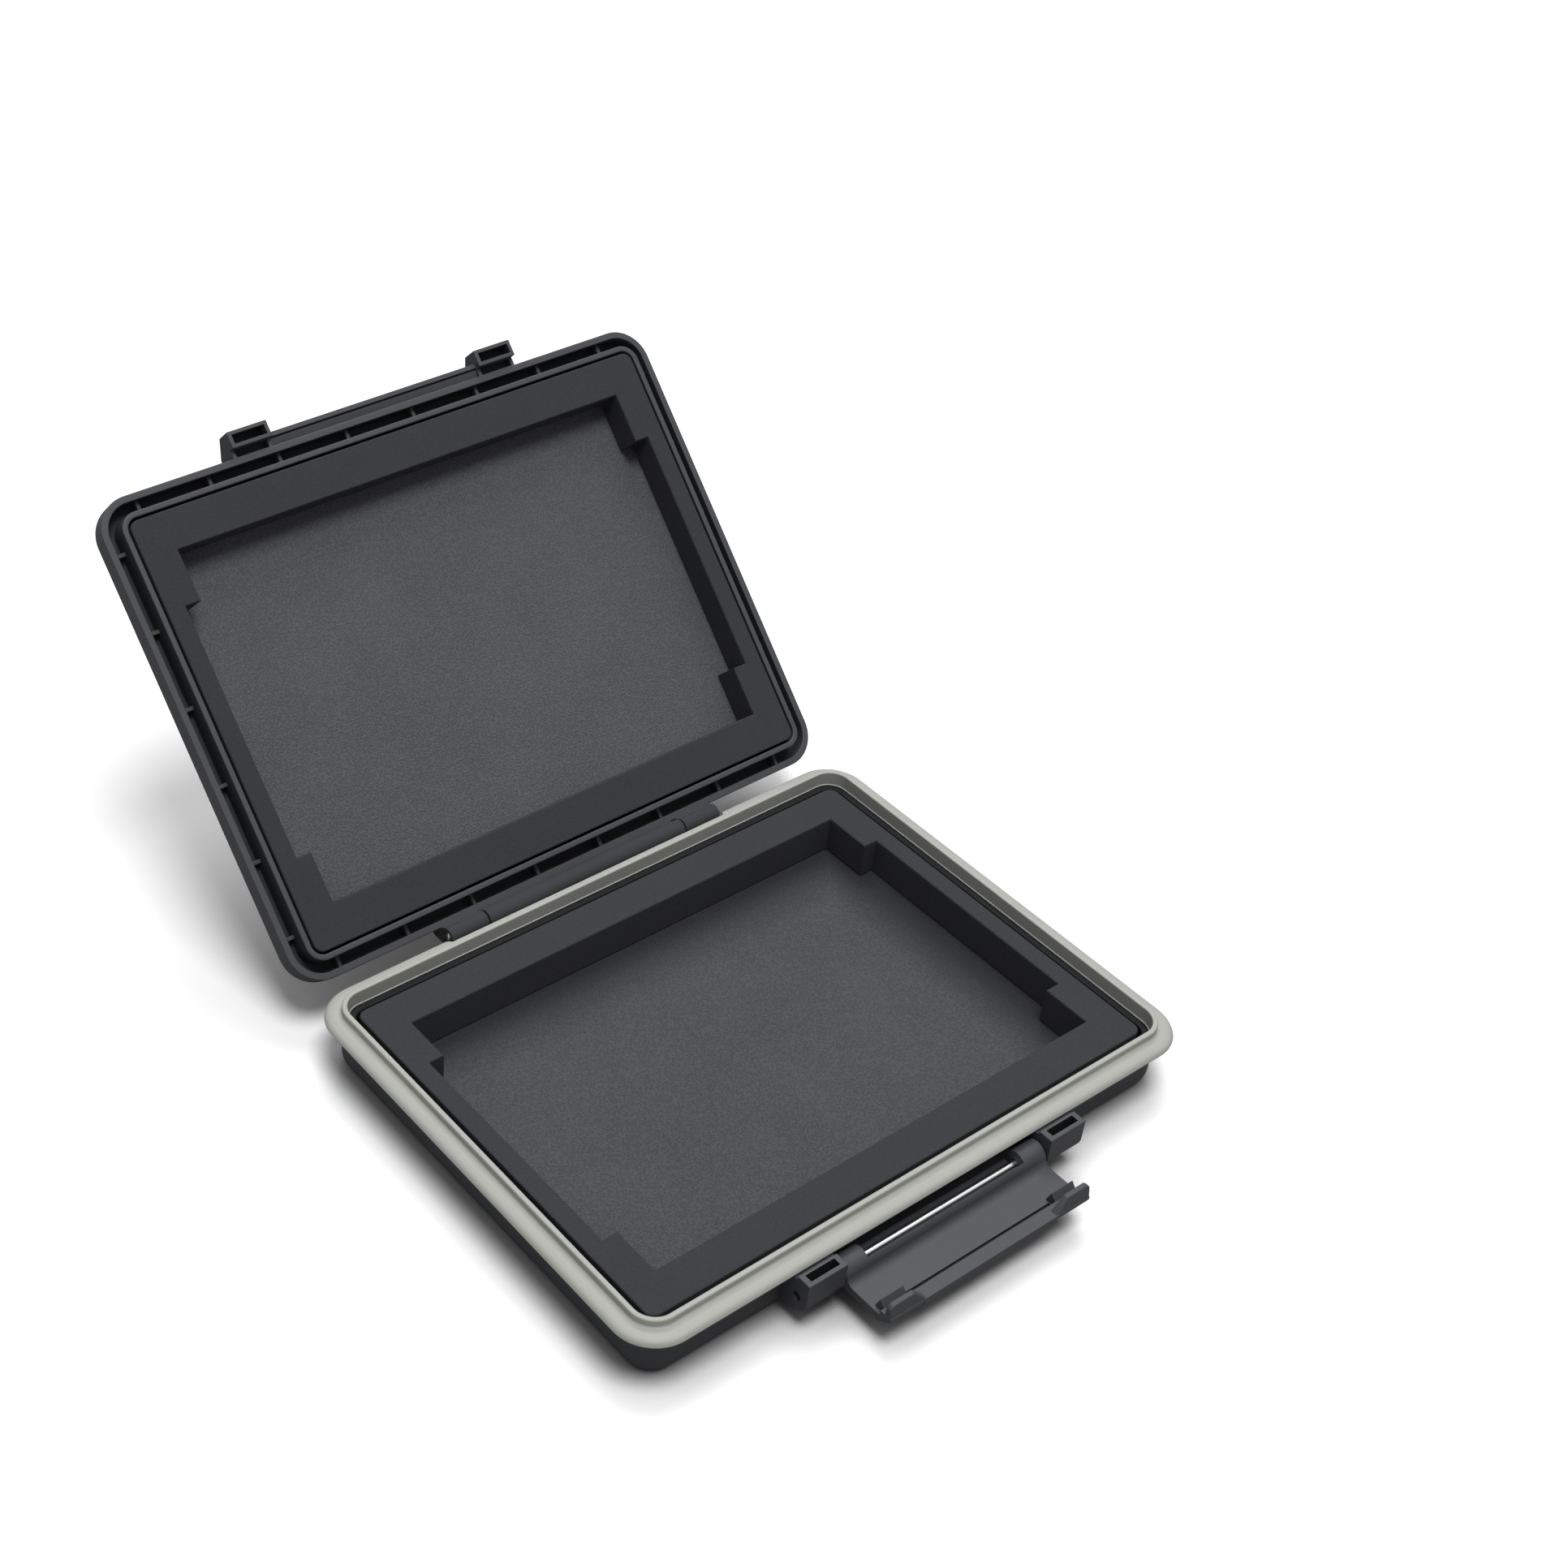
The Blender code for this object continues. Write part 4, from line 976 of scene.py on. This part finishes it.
# %% [markdown]
# ## The latch
#
# The latch is one moulding that turns on its own pin: a barrel, a plate, two teeth that snap
# over the lid's rail, and a pull whose ends stand up as finger stops. A soft fillet joins the
# barrel to the plate, and a long window in the barrel shows the pin. It is drawn as it lies in
# the photo, with its outer side down.

# %% Latch
def latch_outline(points):
    """(reach, height) in mm from the pivot, as (y, z)."""
    return [(LATCH.y - reach * MM, LATCH.z + height * MM) for reach, height in points]


PLATE_TOP = -0.76
FILLET = 1.5


def fillet_points():
    """The hollow between the barrel and the plate, tangent to both."""
    rise = FILLET + PLATE_TOP
    run = math.sqrt((LATCH_RADIUS / MM + FILLET) ** 2 - rise ** 2)
    start = math.atan2(-rise, -run)
    end = -math.pi / 2
    points = []
    for step in range(9):
        angle = start + (end - start) * step / 8
        points.append((run + FILLET * math.cos(angle), rise + FILLET * math.sin(angle)))
    return points[::-1]


def latch_plate():
    """The plate, from the barrel out to the pull, with the fillet between them."""
    outline = [(0, -2.51), (10.43, -2.27), (13.14, -0.4), (13.1, 0.44), (10.45, 0.38),
               (10.45, PLATE_TOP)]
    return block(latch_outline(outline + fillet_points() + [(0, 0)]),
                 -LATCH_HALF + 0.1 * MM, LATCH_HALF - 0.1 * MM, 0.14)


def pull_front(half):
    """Between the finger stops the pull's front is deeper."""
    outline = [(11.6, -1.4), (13.14, -1.2), (13.1, 0.44), (11.6, 0.4)]
    return block(latch_outline(outline), -half, half, 0.12)


def pull_groove(half):
    """A fine groove parts the plate from the pull."""
    low, high = PLATE_TOP - 0.45, PLATE_TOP + 0.4
    outline = [(9.4, low), (10.43, low), (10.43, high), (9.4, high)]
    return block(latch_outline(outline), -half, half, 0)


def latch_tooth(low, high):
    """A hook that snaps over the catch rail."""
    outline = latch_outline([(8.4, -0.96), (9.45, 1.66), (10.6, 0.3), (10.6, -0.96)])
    return block(outline, low, high, 0.12)


def finger_stop(low, high):
    """The raised end of the pull: a slope up from the flat middle, a leaning front face."""
    side = 1 if low > 0 else -1
    outer, inner = (high, low) if side > 0 else (low, high)
    foot, top = LATCH.z + 0.3 * MM, LATCH.z + 2.98 * MM
    ramp = inner - side * 2.7 * MM
    outline = [(ramp, foot), (inner, top), (outer - side * 0.7 * MM, top),
               (outer, top - 0.6 * MM), (outer, foot - 0.6 * MM), (ramp, foot - 0.6 * MM)]
    bm = block(outline, LATCH.y - 13.1 * MM, LATCH.y - 11.5 * MM, 0, "Y")
    for vert in bm.verts:
        if vert.co.y < LATCH.y - 12 * MM and vert.co.z > foot:
            vert.co.y += 0.55 * MM * (vert.co.z - foot) / (top - foot)
    round_sharp(bm, 0.22)
    return bm


def latch_window():
    """Open towards the front down to the pin's middle, and lower behind the pin."""
    half = 18.33 * MM
    high = LATCH.z + 6 * MM
    front = box((-half, LATCH.y - 1.82 * MM, LATCH.z), (half, LATCH.y + 6 * MM, high))
    rear = box((-half, LATCH.y, LATCH.z - 0.9 * MM), (half, LATCH.y + 6 * MM, high))
    return [front, rear]


latch_barrel = rod(LATCH_RADIUS, -LATCH_HALF, LATCH_HALF, LATCH.y, LATCH.z, 0.2)
latch = to_object(latch_barrel, "latch_plate", [satin_plastic])
combine(latch, "UNION", [latch_plate(), pull_front(15.6 * MM)])
# The groove's faces take the darkest plastic, a painted line of shade.
combine(latch, "DIFFERENCE", [pull_groove(17.2 * MM)], pocket_shade_plastic)
combine(latch, "UNION", both_sides(latch_tooth, 17.37 * MM, 22.5 * MM))
combine(latch, "UNION", both_sides(finger_stop, 17.85 * MM, LATCH_HALF - 0.1 * MM))
combine(latch, "DIFFERENCE", [pin_bore(LATCH, 30 * MM)] + latch_window())
dress(latch, "latch", ["latch"])

# %% [markdown]
# ## The foam
#
# The foam is die-cut from sheet: straight walls, sharp corners at the drive's cut-out, and an
# edge that rolls over a little where the knife pressed. A ring holds the drive, and a soft
# pad lies under it. The cut-out has finger room at both short ends.

# %% Foam rings
base_low, base_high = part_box("base_foam")
pad_low, pad_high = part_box("base_floor_pad")
NOTCH_X, NOTCH_Y = CUT_X + 3.09 * MM, 24.85 * MM
FOAM_X, FOAM_Y = base_high.x, base_high.y


def foam_ring(bottom, top, open_side):
    """A rounded slab with the drive's outline cut through and soft edges at its open side."""
    bm = box((-FOAM_X, -FOAM_Y, bottom), (FOAM_X, FOAM_Y, top))
    upright = [edge for edge in bm.edges if abs(edge.verts[0].co.z - edge.verts[1].co.z) > 1 * MM]
    bevel_edges(bm, upright, 1.92, 8)
    slab = to_object(bm, "foam_slab", [ring_foam])
    combine(slab, "DIFFERENCE", [
        box((-CUT_X, -CUT_Y, bottom - 5 * MM), (CUT_X, CUT_Y, top + 5 * MM)),
        box((-NOTCH_X, -NOTCH_Y, bottom - 6 * MM), (NOTCH_X, NOTCH_Y, top + 6 * MM)),
    ], ring_foam)
    bm = bmesh.new()
    bm.from_mesh(slab.data)
    bpy.data.objects.remove(slab)
    level = top if open_side > 0 else bottom
    rim = [edge for edge in bm.edges if edge.is_manifold and edge.calc_face_angle(0) > 1.0
           and all(abs(vert.co.z - level) < MERGE for vert in edge.verts)]
    bevel_edges(bm, rim, 0.3, 4)
    return bm


def foam_pad(bottom, top, inset):
    """The soft pad under the drive."""
    half_x, half_y = RIM_X - inset, RIM_Y - inset
    bm = box((-half_x, -half_y, bottom), (half_x, half_y, top))
    upright = [edge for edge in bm.edges if edge.verts[0].co.xy == edge.verts[1].co.xy]
    bevel_edges(bm, upright, 2.3, 8)
    round_sharp(bm, 0.15, least=60.0)
    return bm


base_foam = to_object(foam_ring(base_low.z, base_high.z, 1), "foam_ring_base", [ring_foam])
# The base's pad takes the darker foam, with its painted shade and shadow.
base_pad = to_object(foam_pad(pad_low.z, pad_high.z, 1.7 * MM), "foam_pad_base", [shaded_pad_foam])
lid_foam = to_object(foam_ring(12.02 * MM, 18.38 * MM, -1), "foam_ring_lid", [ring_foam])
lid_pad = to_object(foam_pad(18.68 * MM, 19.21 * MM, 2.02 * MM), "foam_pad_lid", [pad_foam])
dress(base_foam, "base", ["base_foam"])
dress(base_pad, "base", ["base_floor_pad"])
dress(lid_foam, "lid", ["lid_foam"], turn=OPENED)
dress(lid_pad, "lid", ["lid_floor_pad"], turn=OPENED)

# %% [markdown]
# ## The pins
#
# Both pins are plain drawn rods with rounded ends. The hinge pin stands a little proud of
# the outer knuckle, so its dome shows there as a bright spot. The latch pin shows as a line
# in the latch's window.

# %% Pins
PIN_RADIUS = 0.86 * MM
PIN_DOME = 0.55
PIN_PROUD = 0.5 * MM


def pin(name, end, axis):
    """A rod with domed ends along a joint's axis."""
    return to_object(rod(PIN_RADIUS, -end, end, axis.y, axis.z, PIN_DOME), name, [pin_steel])


hinge_rod = pin("hinge_rod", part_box("hinge_pin")[1].x + PIN_PROUD, HINGE)
latch_rod = pin("latch_rod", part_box("latch_pin")[1].x, LATCH)
dress(hinge_rod, "base", ["hinge_pin"])
dress(latch_rod, "base", ["latch_pin"])

# %% [markdown]
# ## Floor, light and camera
#
# The case stands on a white floor that runs out of the picture. The camera sees the floor
# nearly white, while other rays see it grey, so that it throws little light back up and the
# sides of the case stay dark. A soft lamp overhead and a weaker one from the rear right cast
# the shadow, and an Ambient Occlusion node deepens it in the last centimetre before the case,
# where little light gets in. Far out the floor glows white, so that no horizon shows. The
# world lights the case in a soft grey, and its bright patch overhead shows in gloss alone,
# so that the steel pins shine.

# %% Floor and world
FLOOR_WHITE, FLOOR_GREY = 0.98, 0.3


def make_floor():
    bm = bmesh.new()
    bmesh.ops.create_grid(bm, x_segments=1, y_segments=1, size=4.0)
    material, tree, shader = new_material("floor_white", (0.85, 0.85, 0.85), 0.9, specular=0.0)
    light_path = tree.nodes.new("ShaderNodeLightPath")
    seen = light_path.outputs["Is Camera Ray"]
    mix = vary_colour(tree, shader, seen, (FLOOR_GREY,) * 3, (FLOOR_WHITE,) * 3)
    contact = node(tree, "ShaderNodeAmbientOcclusion", samples=8, Distance=9 * MM)
    deep = math_node(tree, "POWER", contact.outputs["AO"], 0.9)
    tree.links.new(math_node(tree, "MULTIPLY", deep, FLOOR_WHITE), mix.inputs["B"])
    distance = node(tree, "ShaderNodeVectorMath", operation="LENGTH")
    tree.links.new(tree.nodes.new("ShaderNodeTexCoord").outputs["Object"], distance.inputs[0])
    far = smooth_step(tree, distance.outputs["Value"], 0.6, 1.2)
    shader.inputs["Emission Color"].default_value = (1, 1, 1, 1)
    glow = math_node(tree, "MULTIPLY", seen, far)
    tree.links.new(glow, shader.inputs["Emission Strength"])
    floor = to_object(bm, "floor", [material])
    return floor


def make_world():
    """White where the camera sees it, a bright patch overhead in gloss, soft grey as light."""
    world = bpy.data.worlds.new("studio")
    bpy.context.scene.world = world
    world.use_nodes = True
    tree = world.node_tree
    background = tree.nodes["Background"]
    path = tree.nodes.new("ShaderNodeLightPath")
    split = tree.nodes.new("ShaderNodeSeparateXYZ")
    tree.links.new(tree.nodes.new("ShaderNodeTexCoord").outputs["Generated"], split.inputs[0])
    overhead = smooth_step(tree, split.outputs["Z"], 0.66, 0.82)
    bright = math_node(tree, "ADD", math_node(tree, "MULTIPLY", overhead, 0.7), 0.3)
    shine = math_node(tree, "MULTIPLY", path.outputs["Is Glossy Ray"], bright)
    seen = math_node(tree, "MAXIMUM", path.outputs["Is Camera Ray"], shine)
    level = math_node(tree, "MAXIMUM", seen, 0.3)
    background.inputs["Color"].default_value = (1, 1, 1, 1)
    tree.links.new(level, background.inputs["Strength"])
    return world


floor = make_floor()
world = make_world()
print("around the case:", floor.name, "and the world", world.name)

# %% Lamps
def area_lamp(name, place, target, size, power):
    """A round lamp that faces its target; a large one gives soft shadows."""
    data = bpy.data.lights.new(name, "AREA")
    data.shape = "DISK"
    data.size = size
    data.energy = power
    lamp = bpy.data.objects.new(name, data)
    lamp.location = place
    lamp.rotation_euler = (Vector(target) - Vector(place)).to_track_quat("-Z", "Y").to_euler()
    bpy.context.scene.collection.objects.link(lamp)
    print("lamp", name, "at", place, "with", power, "W")


AIM = (0, 0.02, 0)
area_lamp("rear", (0.7, 0.8, 1.7), AIM, 1.2, 18)
area_lamp("overhead", (-0.1, -0.4, 1.94), AIM, 0.9, 29)

# %% [markdown]
# The camera was solved from straight edges of the case in the photo. It looks down at about
# 40 degrees from the front left, with a 57 mm lens. The small shift puts the case where it
# is in the frame.

# %% Camera
def make_camera():
    data = bpy.data.cameras.new("photo_view")
    data.sensor_width = 36.0
    data.lens = 57.0
    data.shift_x = 0.128
    data.shift_y = 0.0383
    data.clip_start = 0.01
    camera = bpy.data.objects.new("photo_view", data)
    camera.location = (-0.23149, -0.22812, 0.3241)
    right = Vector((0.7926, -0.6081, 0.0457))
    up = Vector((0.3655, 0.5338, 0.7626))
    back = right.cross(up)
    camera.rotation_euler = Matrix((right, up, back)).transposed().to_euler()
    bpy.context.scene.collection.objects.link(camera)
    bpy.context.scene.camera = camera
    return camera


camera = make_camera()
print("camera:", camera.name, "with a", camera.data.lens, "mm lens")
bpy.context.scene.view_settings.view_transform = "Standard"
